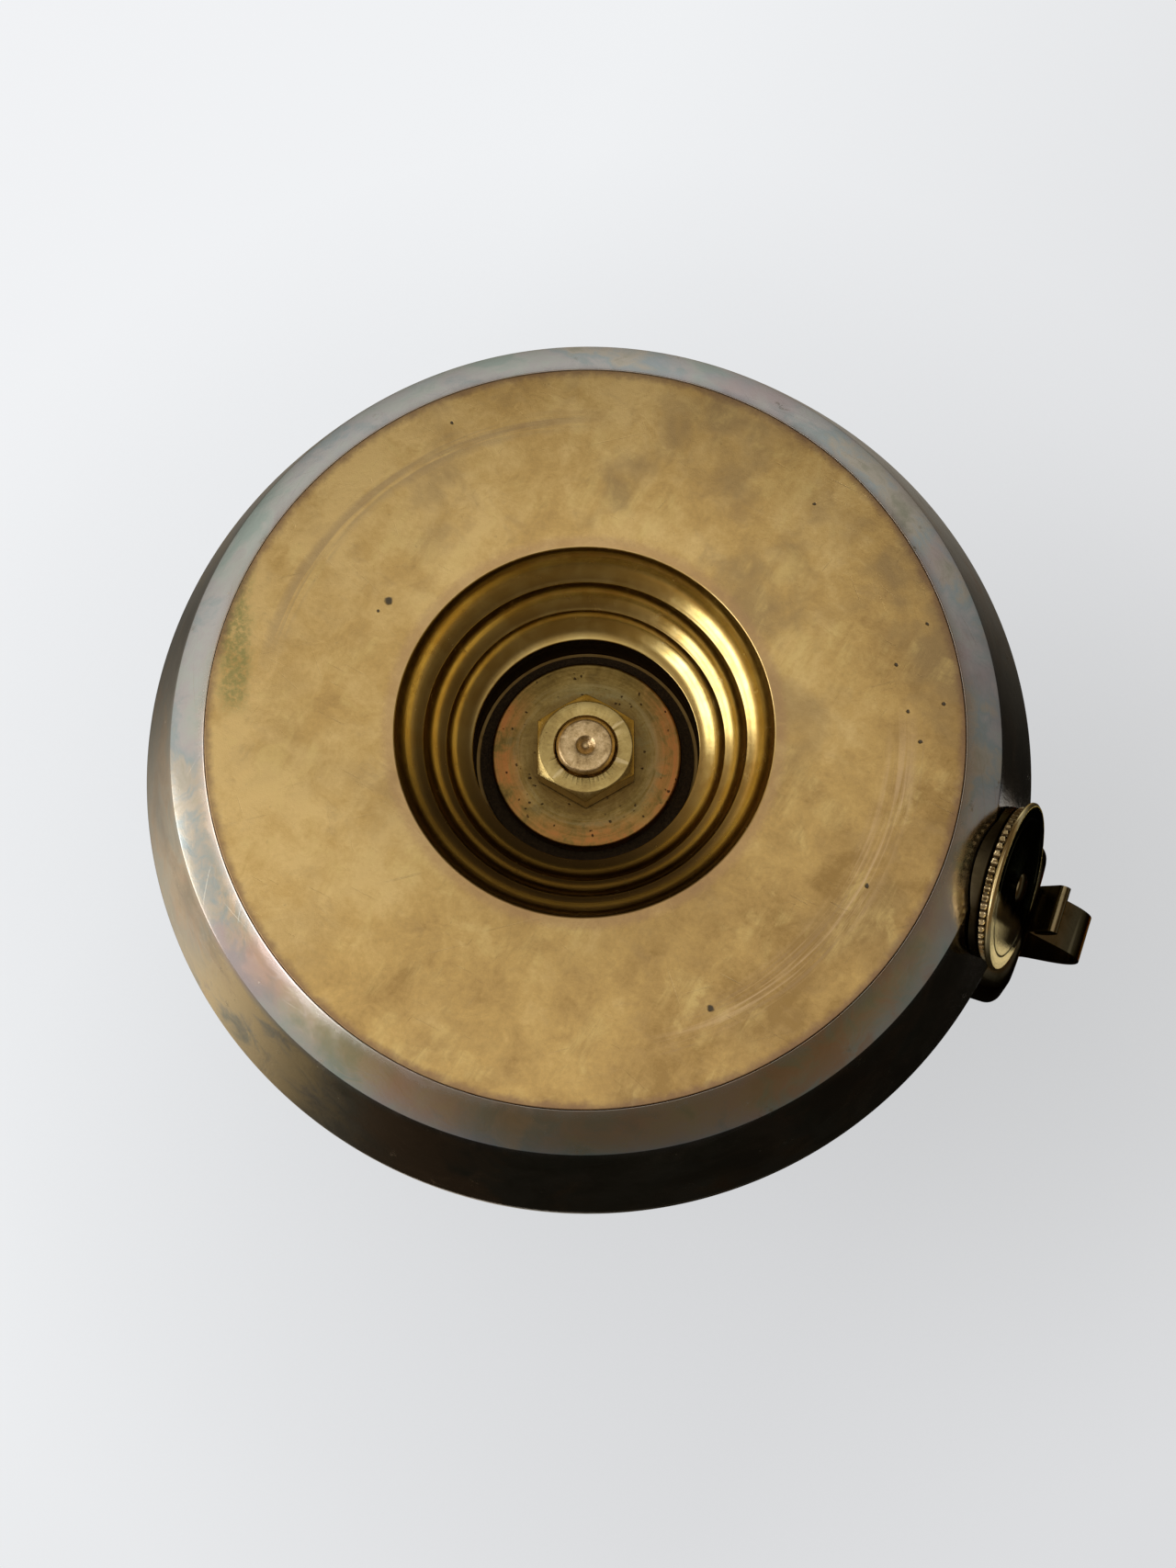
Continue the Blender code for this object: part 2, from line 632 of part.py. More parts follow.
def build_hinge_bracket():
    """Fork on the collar: foot, riser and two round ears around the pin, from one bar."""
    foot_low = COLLAR_TOP + GAP
    slot_low = 75.6
    outline = [(-27.6, foot_low), (-24.1, foot_low)]
    outline += arc(PIN_X, PIN_Z, KNUCKLE_R, 0, 180, 10)
    outline += [(-29.1, slot_low), (-27.6, 73.0), (-25.4, 71.0), (-25.4, 64.3), (-27.6, 64.3)]
    bracket = plate_across("hinge_bracket", outline, BRACKET_HALF, BRIGHT_BRASS)
    boolean(bracket, box_cutter("fork_slot", (-32, -FORK_SLOT_HALF, slot_low),
                                (-20, FORK_SLOT_HALF, 84)))
    bore_for_pin(bracket, "ear_bore")


def build_hinge_leaf():
    """Round knuckle on the pin and a tongue up the snuffer's wall."""
    wall_x = -(SNUFFER_R + WALL_GAP)
    outline = [(wall_x, 78.6), (wall_x, 91.0), (-25.0, 91.0)]
    outline += arc(PIN_X, PIN_Z, KNUCKLE_R - 0.1, 44, 340, 16)
    leaf = plate_across("hinge_leaf", outline, LEAF_HALF, BRIGHT_BRASS)
    bore_for_pin(leaf, "knuckle_bore")


def build_hinge_pin():
    """Pin along Y with the same head on both ends."""
    head = BRACKET_HALF + GAP
    half = [(0.0, head + 0.9), (1.1, head + 0.9), (1.7, head + 0.6), (1.7, head), (PIN_R, head)]
    profile = half + [(x, -z) for x, z in reversed(half)]
    pin = turned("hinge_pin", profile, STEEL, PIN_STEPS, closed=False)
    pin.rotation_euler = (math.radians(90), 0, 0)
    pin.location = (PIN_X * MM, 0, PIN_Z * MM)


def build_snuffer_tab():
    """Bent tab on the snuffer's +X side, opposite the hinge."""
    tab_x = SNUFFER_R + WALL_GAP + TAB_T / 2
    path = [(tab_x, 90.0), (tab_x, 82.6), (25.0, 81.5), (26.2, 81.0), (31.5, 80.6)]
    ribbon("snuffer_tab", path, 8.0, TAB_T, BRIGHT_BRASS)


# ================================================================ side filler
def filler_placement():
    """Local +Z is the filler's outward axis, local +X points down the wall."""
    azimuth, tilt = math.radians(FILLER_AZ), math.radians(FILLER_TILT)
    radial = Vector((math.cos(azimuth), math.sin(azimuth), 0.0))
    side = Vector((-math.sin(azimuth), math.cos(azimuth), 0.0))
    up = Vector((0, 0, 1))
    outward = (radial * math.cos(tilt) - up * math.sin(tilt)).normalized()
    turn = Matrix((side.cross(outward), side, outward)).transposed().to_4x4()
    return (radial * CAP_CENTRE[0] + up * CAP_CENTRE[1]) * MM, turn


FILLER_CENTRE, FILLER_TURN = filler_placement()


def on_filler(piece):
    piece.matrix_world = Matrix.Translation(FILLER_CENTRE) @ FILLER_TURN
    return piece


def filler_bore(name, radius, low, high, segments=STEPS):
    """Cylindrical cutter along the filler's axis."""
    return on_filler(rod(name, radius, (0, 0, low), (0, 0, high), segments=segments))


def build_cap_disc():
    bore_r = CAP_RIVET_R + GAP
    on_filler(turned("cap_disc", [(DISC_R - 0.3, 0.0), (DISC_R, -0.3), (DISC_R, -DISC_T + 0.25),
                                  (DISC_R - 0.25, -DISC_T), (bore_r, -DISC_T), (bore_r, 0.0)],
                     DARK_BRASS, WIDE_STEPS))


def build_filler_cap():
    """Cap with shallow straight flutes around its rim, and a plug that enters the neck."""
    rim = []
    for i in range(FLUTES * 2):
        angle = math.tau * i / (FLUTES * 2)
        radius = (CAP_R if i % 2 == 0 else CAP_R - FLUTE_DEPTH) * MM
        rim.append((radius * math.cos(angle), radius * math.sin(angle), CAP_LOW * MM))
    shape = bmesh.new()
    extrude_face(shape, rim, (0, 0, (CAP_TOP - CAP_LOW) * MM))
    cap = on_filler(to_piece("filler_cap", shape, DARK_BRASS))

    plug_r = NECK_BORE_R - GAP
    plug_profile = [(0.0, CAP_LOW + 0.5), (plug_r, CAP_LOW + 0.5), (plug_r, CAP_LOW - 4.2),
                    (plug_r - 0.6, CAP_LOW - 4.8), (0.0, CAP_LOW - 4.8)]
    boolean(cap, on_filler(turned("plug", plug_profile, None, closed=False)), "UNION")
    boolean(cap, filler_bore("rivet_bore", CAP_RIVET_R + GAP, CAP_LOW - 1.6, 2, PIN_STEPS))


def build_cap_rivet():
    end = CAP_LOW - 1.2
    on_filler(turned("cap_rivet", [(0.0, 1.1), (0.9, 0.95), (1.8, 0.6), (2.0, GAP),
                                   (CAP_RIVET_R, GAP), (CAP_RIVET_R, end), (0.0, end)],
                     BRIGHT_BRASS, PIN_STEPS, closed=False))


def build_filler_neck(body_form, lower_shell):
    """Neck seated on the tank, its tube through the shell, and its gasket."""
    neck = on_filler(rod("filler_neck", NECK_R, (0, 0, -7.5), (0, 0, NECK_FACE), DARK_BRASS))
    boolean(neck, body_form)
    # flat on the neck's upper side
    boolean(neck, on_filler(box_cutter("rim_trim", (-12.0, -12.0, -9.0), (-9.3, 12.0, 0.0))))
    boolean(neck, filler_bore("neck_tube", NECK_TUBE_R, -12.0, NECK_FACE - 0.02), "UNION")
    boolean(neck, filler_bore("neck_bore", NECK_BORE_R, -14, 3))
    boolean(neck, filler_bore("gasket_seat", GASKET_SEAT_R, GASKET_Z[0] - GAP, 3))
    on_filler(sleeve("filler_gasket", GASKET_SEAT_R - GAP, NECK_BORE_R + 0.1, *GASKET_Z, FIBRE))
    boolean(lower_shell, filler_bore("shell_port", NECK_TUBE_R + GAP, -14, 6))


# ================================================================ strap latch
# The latch is drawn in the XZ plane and turned to the filler's azimuth.
LATCH_TURN = Matrix.Rotation(math.radians(FILLER_AZ), 4, "Z")
STRAP_ORIGIN = Vector((STRAP_X, 0, PIVOT_Z)) * MM


def bore_for_rivet(piece, name, start, end):
    """Bore a piece along the latch rivet, between two distances from the tank's axis."""
    bore = rod(name, PIVOT_BORE_R, (start, 0, PIVOT_Z), (end, 0, PIVOT_Z), segments=PIN_STEPS)
    bore.matrix_world = LATCH_TURN
    boolean(piece, bore)


def build_latch_boss(body_form):
    outline = round_rect(BOSS_HALF, *BOSS_Z, radius=6.5, count=4)
    boss = plate("latch_boss", outline, BOSS_FACE - BOSS_BACK, DARK_BRASS, edge=2.2)
    boss.matrix_world = LATCH_TURN @ Matrix.Translation((BOSS_BACK * MM, 0, 0))
    boolean(boss, body_form)
    bore_for_rivet(boss, "pivot_bore", BOSS_FACE - 5.0, BOSS_FACE + 5.0)


def tab_roll():
    """Flattened roll that ends the tab: out, round, and back with a small bulge."""
    along = (Vector(TAB) - Vector(CONTACT)).normalized()
    away = Vector((-along.y, along.x))         # side away from the tank
    centre = Vector(TAB) + away * ROLL_R
    points = [TAB]
    for i in range(1, 5):
        angle = math.pi * i / 4
        points.append(tuple(centre - away * (ROLL_R * math.cos(angle))
                            + along * (ROLL_R * math.sin(angle))))
    # (distance back along the tab, distance outwards) from the roll's outer end
    for back, out in ((1.6, 0.15), (3.2, 0.05), (4.4, -0.35)):
        points.append(tuple(centre + away * (ROLL_R + out) - along * back))
    return points


def build_latch_strap():
    """Strap that swings out from its foot, round the bow, and back in to the contact bend."""
    leg = bezier(BOW, (BOW[0], 27.8), (68.2, 25.6), CONTACT, 7)[1:-1]
    path = [(STRAP_X, PIVOT_Z + 3.2)]
    path += bezier(FOOT_END, (65.2, 38.2), (BOW[0], 37.2), BOW, 7)
    path += leg + arc_corner(leg[-1], CONTACT, TAB, 0.45, 3) + tab_roll()
    strap = ribbon("latch_strap", [(x - STRAP_X, z - PIVOT_Z) for x, z in path],
                   STRAP_W, STRAP_T, DARK_BRASS)
    strap.matrix_world = LATCH_TURN @ Matrix.Translation(STRAP_ORIGIN)
    bore_for_rivet(strap, "strap_bore", BOSS_FACE - 2.0, BOSS_FACE + 3.0)


def build_latch_rivet():
    head = STRAP_X + STRAP_T / 2 + GAP
    end = BOSS_FACE - 4.6
    rivet = turned("latch_rivet", [(0.0, head + 1.1), (0.9, head + 0.95), (1.7, head + 0.5),
                                   (2.0, head), (LATCH_RIVET_R, head), (LATCH_RIVET_R, end),
                                   (0.0, end)], BRIGHT_BRASS, PIN_STEPS, closed=False)
    rivet.matrix_world = (LATCH_TURN @ Matrix.Translation((0, 0, PIVOT_Z * MM))
                          @ Matrix.Rotation(math.radians(90), 4, "Y"))


# ================================================================ joint axes
# (name, place, rotation, the pieces that move on it)
UNTURNED = Matrix.Identity(4)
JOINTS = [
    ("shutter_axis", Vector((0, 0, 70.5)) * MM, UNTURNED,
     ("air_shutter", "shutter_lever", "lever_knob")),
    ("snuffer_hinge", Vector((PIN_X, 0, PIN_Z)) * MM, UNTURNED,
     ("snuffer_cap", "hinge_leaf", "snuffer_tab")),
    ("cap_axis", FILLER_CENTRE, FILLER_TURN, ("filler_cap", "cap_disc", "cap_rivet")),
    ("latch_pivot", LATCH_TURN @ STRAP_ORIGIN, LATCH_TURN, ("latch_strap",)),
]


def add_empty(name, place, turn):
    empty = bpy.data.objects.new(name, None)
    empty.empty_display_size = 0.01
    parts.objects.link(empty)
    empty.matrix_world = Matrix.Translation(place) @ turn
    bpy.context.view_layer.update()
    return empty


def hang(piece, parent):
    """Parent a piece without moving it."""
    piece.parent = parent
    piece.matrix_parent_inverse = parent.matrix_world.inverted()


def hang_everything():
    """Every piece hangs on the tank's axis; the moving ones on an empty on their joint."""
    bpy.context.view_layer.update()
    tank_axis = add_empty("tank_axis", (0, 0, 0), UNTURNED)
    for name, place, turn, pieces in JOINTS:
        joint = add_empty(name, place, turn)
        hang(joint, tank_axis)
        for piece in pieces:
            hang(bpy.data.objects[piece], joint)
    for piece in list(parts.objects) + list(cutters.objects):
        if piece.parent is None and piece is not tank_axis:
            hang(piece, tank_axis)
    tank_axis.location.x = AXIS_X * MM
    bpy.context.view_layer.update()


def build_burner():
    build_base_pan()
    lower_shell = build_lower_shell()
    build_upper_shell()
    body_form = build_body_form()

    build_clamp()
    build_tie_rod()
    build_nut("clamp_nut", WASHER_LOW - GAP - NUT_H, face_down=True)
    build_nut("head_nut", HEAD_NUT_Z, face_down=False)

    build_collar()
    build_gallery()
    build_shutter()
    build_wick()
    build_spider()
    build_feeder_cords()
    build_flame_spreader()

    build_snuffer_cap()
    build_hinge_bracket()
    build_hinge_leaf()
    build_hinge_pin()
    build_snuffer_tab()

    build_cap_disc()
    build_filler_cap()
    build_cap_rivet()
    build_filler_neck(body_form, lower_shell)

    build_latch_boss(body_form)
    build_latch_strap()
    build_latch_rivet()

    hang_everything()


build_burner()
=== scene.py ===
# Brass alcohol burner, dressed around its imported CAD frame: meshes, materials, ground and light.
# The tank stands on z = 0 and turns about the vertical line x = AXIS_X, y = 0. The filler and the
# strap latch look out sideways along the cap_turn axis. Profiles are in millimetres, the scene in
# metres. The camera looks up at the base from below.
import json
import math
import random

import bmesh
import bpy
from mathutils import Matrix, Vector


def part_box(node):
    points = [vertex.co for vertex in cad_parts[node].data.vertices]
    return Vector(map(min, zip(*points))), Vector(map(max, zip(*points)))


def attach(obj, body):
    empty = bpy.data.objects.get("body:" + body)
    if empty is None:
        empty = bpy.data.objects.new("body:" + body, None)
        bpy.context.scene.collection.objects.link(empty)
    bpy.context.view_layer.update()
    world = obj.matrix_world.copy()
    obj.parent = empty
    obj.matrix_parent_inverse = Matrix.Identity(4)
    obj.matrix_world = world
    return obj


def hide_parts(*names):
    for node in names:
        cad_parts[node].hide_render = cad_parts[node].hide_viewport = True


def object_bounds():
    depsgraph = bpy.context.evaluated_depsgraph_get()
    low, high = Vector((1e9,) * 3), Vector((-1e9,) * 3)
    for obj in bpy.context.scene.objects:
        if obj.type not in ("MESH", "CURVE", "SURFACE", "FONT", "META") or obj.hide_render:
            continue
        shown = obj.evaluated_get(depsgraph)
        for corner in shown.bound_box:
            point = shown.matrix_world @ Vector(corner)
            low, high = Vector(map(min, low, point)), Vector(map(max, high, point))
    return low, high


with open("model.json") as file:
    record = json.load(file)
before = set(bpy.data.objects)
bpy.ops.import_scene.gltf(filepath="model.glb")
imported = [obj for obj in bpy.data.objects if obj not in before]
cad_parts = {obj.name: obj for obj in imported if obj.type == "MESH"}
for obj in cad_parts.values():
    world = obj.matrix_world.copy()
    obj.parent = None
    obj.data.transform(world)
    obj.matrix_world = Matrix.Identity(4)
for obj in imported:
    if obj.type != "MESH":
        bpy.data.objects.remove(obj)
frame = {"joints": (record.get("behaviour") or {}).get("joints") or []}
first_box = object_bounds()

MM = 0.001
TAU = math.tau


def shift(x, z=0.0):
    """A move in the (x, z) plane, in millimetres."""
    return Matrix.Translation((x * MM, 0, z * MM))


def turn(degrees, axis="Z"):
    return Matrix.Rotation(math.radians(degrees), 4, axis)


# ================================================================ places taken from the frame
pan_low, pan_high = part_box("base_pan")
AXIS_X = (pan_low.x + pan_high.x) / 2
joints = {joint["name"]: joint for joint in frame["joints"]}
TANK = Matrix.Translation((AXIS_X, 0, 0))

# Filler frame: z outward along the cap's axis.
cap_axis = Vector(joints["cap_turn"]["axis"]).normalized()
cap_side = Vector((-cap_axis.y, cap_axis.x, 0)).normalized()
cap_down = cap_side.cross(cap_axis)
FILLER = (Matrix.Translation(joints["cap_turn"]["pos_m"])
          @ Matrix((cap_down, cap_side, cap_axis)).transposed().to_4x4())

# Latch frame: the tank's frame turned so that x points the way the filler does.
FILLER_DEG = math.degrees(math.atan2(cap_axis.y, cap_axis.x))
LATCH = TANK @ turn(FILLER_DEG)
PIVOT_Z = joints["latch_swing"]["pos_m"][2] / MM
PIVOT = LATCH @ shift(0, PIVOT_Z) @ turn(90, "Y")

# ================================================================ driving sizes, mm
BASE_R = 50.0
BODY_R, BODY_Z = 61.0, 21.6      # widest point of the tank
SEAM_Z, SEAM_HALF = 22.3, 0.15   # joint between the shells and half its gap
SHOULDER_R, SHOULDER_Z = 28.0, 58.0
SHELL_WALL = 1.0
KNEE = (55.2, 5.0)               # where the bottom bevel meets the wall
WELL = [(25.0, 0.0), (21.5, 4.5), (18.65, 8.0), (15.25, 10.8)]  # (radius, z) of the steps
ROD_R, ROD_HOLE_R = 4.0, 4.4
GALLERY_R, SHUTTER_R = 21.0, 22.4
FEED_R = 13.5                    # circle of the feeder cord holes
FEED_DEGS = [FILLER_DEG + 45 + 90 * i for i in range(4)]
WICK_LOW, WICK_HIGH = 44.5, 86.9


# ================================================================ mesh tools
def clamp(value):
    return max(0.0, min(1.0, value))


def bezier(p0, p1, p2, p3, count):
    out = []
    for i in range(count + 1):
        t = i / count
        a, b, c, d = (1 - t) ** 3, 3 * t * (1 - t) ** 2, 3 * t * t * (1 - t), t ** 3
        out.append(tuple(a * p0[k] + b * p1[k] + c * p2[k] + d * p3[k] for k in range(2)))
    return out


def fillet(points, radius=0.2, steps=4, closed=True):
    """Round the corners of a profile; a point may carry its own radius as a third number."""
    out = []
    count = len(points)
    for i, point in enumerate(points):
        wanted = point[2] if len(point) > 2 else radius
        loose_end = not closed and i in (0, count - 1)
        corner = Vector(point[:2])
        before = Vector(points[i - 1][:2]) - corner
        after = Vector(points[(i + 1) % count][:2]) - corner
        length_1, length_2 = before.length, after.length
        if wanted <= 0 or abs(point[0]) < 1e-6 or loose_end or min(length_1, length_2) < 1e-6:
            out.append((point[0], point[1]))
            continue
        before, after = before / length_1, after / length_2
        angle = math.acos(max(-1.0, min(1.0, before.dot(after))))
        if angle > math.radians(172):
            out.append((point[0], point[1]))
            continue
        reach = min(wanted / math.tan(angle / 2), 0.45 * length_1, 0.45 * length_2)
        fitted = reach * math.tan(angle / 2)
        centre = corner + (before + after).normalized() * (fitted / math.sin(angle / 2))
        start = corner + before * reach - centre
        stop = corner + after * reach - centre
        angle_0, angle_1 = math.atan2(start.y, start.x), math.atan2(stop.y, stop.x)
        sweep = (angle_1 - angle_0 + math.pi) % TAU - math.pi
        for k in range(steps + 1):
            t = angle_0 + sweep * k / steps
            out.append((centre.x + fitted * math.cos(t), centre.y + fitted * math.sin(t)))
    return out


def bent(points, radius):
    """An open path with its corners rounded."""
    return fillet(points, radius, 8, closed=False)


def tangent_at(points, i):
    ahead = Vector(points[min(i + 1, len(points) - 1)])
    return (ahead - Vector(points[max(i - 1, 0)])).normalized()


def offset(curve, distance):
    """Shift a curve sideways, inward for one that climbs the outside of the tank."""
    curve = [point[:2] for point in curve]
    out = []
    for i, (r, z) in enumerate(curve):
        along = tangent_at(curve, i)
        out.append((r - along.y * distance, z + along.x * distance))
    return out


def strip(path, thickness):
    """Outline of a sheet of constant thickness that follows a path in (x, z)."""
    one, two = [], []
    for i, (x, z) in enumerate(path):
        along = tangent_at(path, i)
        half = Vector((-along.y, along.x)) * thickness / 2
        one.append((x + half.x, z + half.y))
        two.append((x - half.x, z - half.y))
    return one + list(reversed(two))


def lathe(profile, seg=128, closed=True, shape=None):
    """Vertices and faces of a turned body; shape(r, z, theta) may flute or thread it."""
    verts, rings, faces = [], [], []
    for r, z in profile:
        if r < 1e-6:
            rings.append([len(verts)])
            verts.append((0.0, 0.0, z))
            continue
        rings.append(list(range(len(verts), len(verts) + seg)))
        for j in range(seg):
            t = TAU * j / seg
            shaped = shape(r, z, t) if shape else r
            verts.append((shaped * math.cos(t), shaped * math.sin(t), z))
    count = len(profile)
    for i in range(count if closed else count - 1):
        a, b = rings[i], rings[(i + 1) % count]
        if len(a) == 1 and len(b) == 1:
            continue
        for j in range(seg):
            k = (j + 1) % seg
            if len(a) == 1:
                faces.append((a[0], b[j], b[k]))
            elif len(b) == 1:
                faces.append((a[j], b[0], a[k]))
            else:
                faces.append((a[j], b[j], b[k], a[k]))
    return verts, faces


def prism(start, stop):
    """A solid between two matching outlines of 3D points."""
    n = len(start)
    faces = [tuple(range(n)), tuple(range(2 * n - 1, n - 1, -1))]
    faces += [(i, (i + 1) % n, n + (i + 1) % n, n + i) for i in range(n)]
    return start + stop, faces


def extrude(outline, depth):
    """A prism whose outline lies in (x, z) and which is centred on y = 0."""
    return prism([(x, -depth / 2, z) for x, z in outline], [(x, depth / 2, z) for x, z in outline])


def loft_faces(rings, sides):
    """Faces of a capped tube built from rings of the same number of points."""
    faces = []
    for i in range(rings - 1):
        for j in range(sides):
            k = (j + 1) % sides
            faces.append((i * sides + j, i * sides + k, (i + 1) * sides + k, (i + 1) * sides + j))
    faces.append(tuple(range(sides - 1, -1, -1)))
    faces.append(tuple(range((rings - 1) * sides, rings * sides)))
    return faces


def strand(points, radius, sides, taper):
    """A thin closed tube along points, used for yarn and loose fibre."""
    verts = []
    count = len(points)
    for i, point in enumerate(points):
        along = tangent_at(points, i)
        upright = Vector((0, 0, 1)) if abs(along.z) < 0.9 else Vector((1, 0, 0))
        side = along.cross(upright).normalized()
        other = along.cross(side)
        girth = radius * (1.0 - 0.75 * (i / (count - 1)) ** 2) if taper else radius
        for j in range(sides):
            t = TAU * j / sides
            verts.append(tuple(Vector(point) + side * (girth * math.cos(t))
                               + other * (girth * math.sin(t))))
    return verts, loft_faces(count, sides)


def merge(parts):
    verts, faces = [], []
    for part_verts, part_faces in parts:
        first = len(verts)
        verts += part_verts
        faces += [tuple(i + first for i in face) for face in part_faces]
    return verts, faces


def shade(ob, angle):
    ob.data.shade_smooth()
    ob.data.set_sharp_from_angle(angle=math.radians(angle))


def mesh_object(name, data, matrix=TANK, angle=30):
    """A mesh object whose vertices are given in millimetres and stored in the row frame."""
    verts, faces = data
    mesh = bpy.data.meshes.new(name)
    mesh.from_pydata([matrix @ (Vector(v) * MM) for v in verts], [], faces)
    bm = bmesh.new()
    bm.from_mesh(mesh)
    bmesh.ops.recalc_face_normals(bm, faces=bm.faces)
    bm.to_mesh(mesh)
    bm.free()
    ob = bpy.data.objects.new(name, mesh)
    bpy.context.scene.collection.objects.link(ob)
    shade(ob, angle)
    return ob


def cutter(data, matrix=TANK):
    return mesh_object("cutter", data, matrix)


def cylinder(radius, low, high, seg, matrix):
    """A cutter along the z axis of the matrix."""
    outline = [(0, low), (radius, low), (radius, high), (0, high)]
    return cutter(lathe(outline, seg, closed=False), matrix)


def bake(ob):
    """Apply the modifiers of an object to its mesh."""
    bpy.context.view_layer.update()
    deps = bpy.context.evaluated_depsgraph_get()
    done = bpy.data.meshes.new_from_object(ob.evaluated_get(deps))
    old = ob.data
    ob.modifiers.clear()
    ob.data = done
    bpy.data.meshes.remove(old)


def carve(ob, cutters, operation="DIFFERENCE", angle=30):
    """Cut, join or intersect an object with others, which are then removed."""
    for tool in cutters:
        mod = ob.modifiers.new("carve", "BOOLEAN")
        mod.operation = operation
        mod.solver = "EXACT"
        mod.object = tool
        bake(ob)
        bpy.data.objects.remove(tool, do_unlink=True)
    shade(ob, angle)


def soften(ob, width, segments=3, angle=38):
    """Break the sharp edges and keep the flat faces flat."""
    bevel = ob.modifiers.new("edge", "BEVEL")
    bevel.width = width * MM
    bevel.segments = segments
    bevel.limit_method = "ANGLE"
    bevel.angle_limit = math.radians(angle)
    bevel.use_clamp_overlap = True
    bake(ob)
    shade(ob, 60)
    normals = ob.modifiers.new("normals", "WEIGHTED_NORMAL")
    normals.keep_sharp = True
    normals.weight = 80
    bake(ob)


def dress(ob, finish, *stands_for, body="tank"):
    """Give an object the material of a finish, a (slot, material) pair whose slot is not used; parent it
    to its body and hide the frame parts it stands for.
    """
    slot, material = finish
    ob.data.materials.clear()
    ob.data.materials.append(material)
    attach(ob, body)
    if stands_for:
        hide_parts(*stands_for)


def piece(name, data, finish, *stands_for, body="tank", matrix=TANK, angle=30):
    dress(mesh_object(name, data, matrix, angle), finish, *stands_for, body=body)


# ================================================================ node tools
class Value:
    """An output socket that can be combined with other values and with numbers."""

    def __init__(self, look, socket):
        self.look = look
        self.socket = socket

    def math(self, operation, other=0.0):
        return self.look.math(operation, self, other)

    def __add__(self, other):
        return self.math("ADD", other)

    def __radd__(self, other):
        return self.look.math("ADD", other, self)

    def __sub__(self, other):
        return self.math("SUBTRACT", other)

    def __rsub__(self, other):
        return self.look.math("SUBTRACT", other, self)

    def __mul__(self, other):
        return self.math("MULTIPLY", other)

    def __abs__(self):
        return self.math("ABSOLUTE")

    def hypot(self, other):
        return (self * self + other * other).math("SQRT")

    def vector(self, operation, other=(0.0, 0.0, 0.0)):
        out = "Value" if operation in ("DISTANCE", "DOT_PRODUCT") else "Vector"
        return self.look.make("ShaderNodeVectorMath", (self, other), out, operation=operation)

    def xyz(self):
        node = self.look.new("ShaderNodeSeparateXYZ", (self,))
        return [Value(self.look, socket) for socket in node.outputs]

    def rise(self, low, high, start=0.0, end=1.0, kind="SMOOTHSTEP"):
        """Smooth change from start at low to end at high; low may be the larger."""
        return self.look.make("ShaderNodeMapRange", (self, low, high, start, end),
                              clamp=True, interpolation_type=kind)

    def fall(self, low, high):
        return self.rise(low, high, start=1.0, end=0.0)

    def band(self, low, high, soft):
        return self.rise(low - soft, low + soft) * self.fall(high - soft, high + soft)

    def noise(self, scale=1.0, detail=3.0, rough=0.5, distort=0.0):
        settings = {"Vector": self, "Scale": scale, "Detail": detail, "Roughness": rough,
                    "Distortion": distort}
        return self.look.make("ShaderNodeTexNoise", settings, "Fac", noise_dimensions="3D")

    def warp(self, scale, amount):
        """Coordinates pushed about by noise."""
        cloud = self.look.make("ShaderNodeTexNoise", {"Vector": self, "Scale": scale, "Detail": 2.0},
                               "Color", noise_dimensions="3D")
        centred = cloud.vector("SUBTRACT", (0.5, 0.5, 0.5))
        return self.vector("ADD", centred.vector("MULTIPLY", (amount, amount, amount)))

    def cells(self, scale):
        settings = {"Vector": self, "Scale": scale, "Randomness": 1.0}
        return self.look.make("ShaderNodeTexVoronoi", settings, "Distance",
                              voronoi_dimensions="3D", feature="F1")

    def ramp(self, *stops):
        """Colour by position; stops are (position, colour)."""
        node = self.look.new("ShaderNodeValToRGB", (self,))
        ramp = node.color_ramp
        while len(ramp.elements) < len(stops):
            ramp.elements.new(0.5)
        for element, (position, colour) in zip(ramp.elements, stops):
            element.position = position
            element.color = (*colour, 1.0)
        return Value(self.look, node.outputs[0])

    def toward(self, colour, amount):
        return self.look.mix(amount, self, colour)

    def times(self, colour):
        return self.look.mix(1.0, self, colour, "MULTIPLY")

    def blend(self, other, amount):
        """Plain numbers mixed, where toward mixes colours."""
        return self.look.make("ShaderNodeMix", {0: amount, 2: self, 3: other}, data_type="FLOAT")

    def bump(self, depth, strength=0.8, over=None):
        """Relief of a depth in millimetres, laid over another normal if one is given."""
        settings = {"Strength": strength, "Distance": depth * MM, "Height": self}
        if over is not None:
            settings["Normal"] = over
        return self.look.make("ShaderNodeBump", settings)


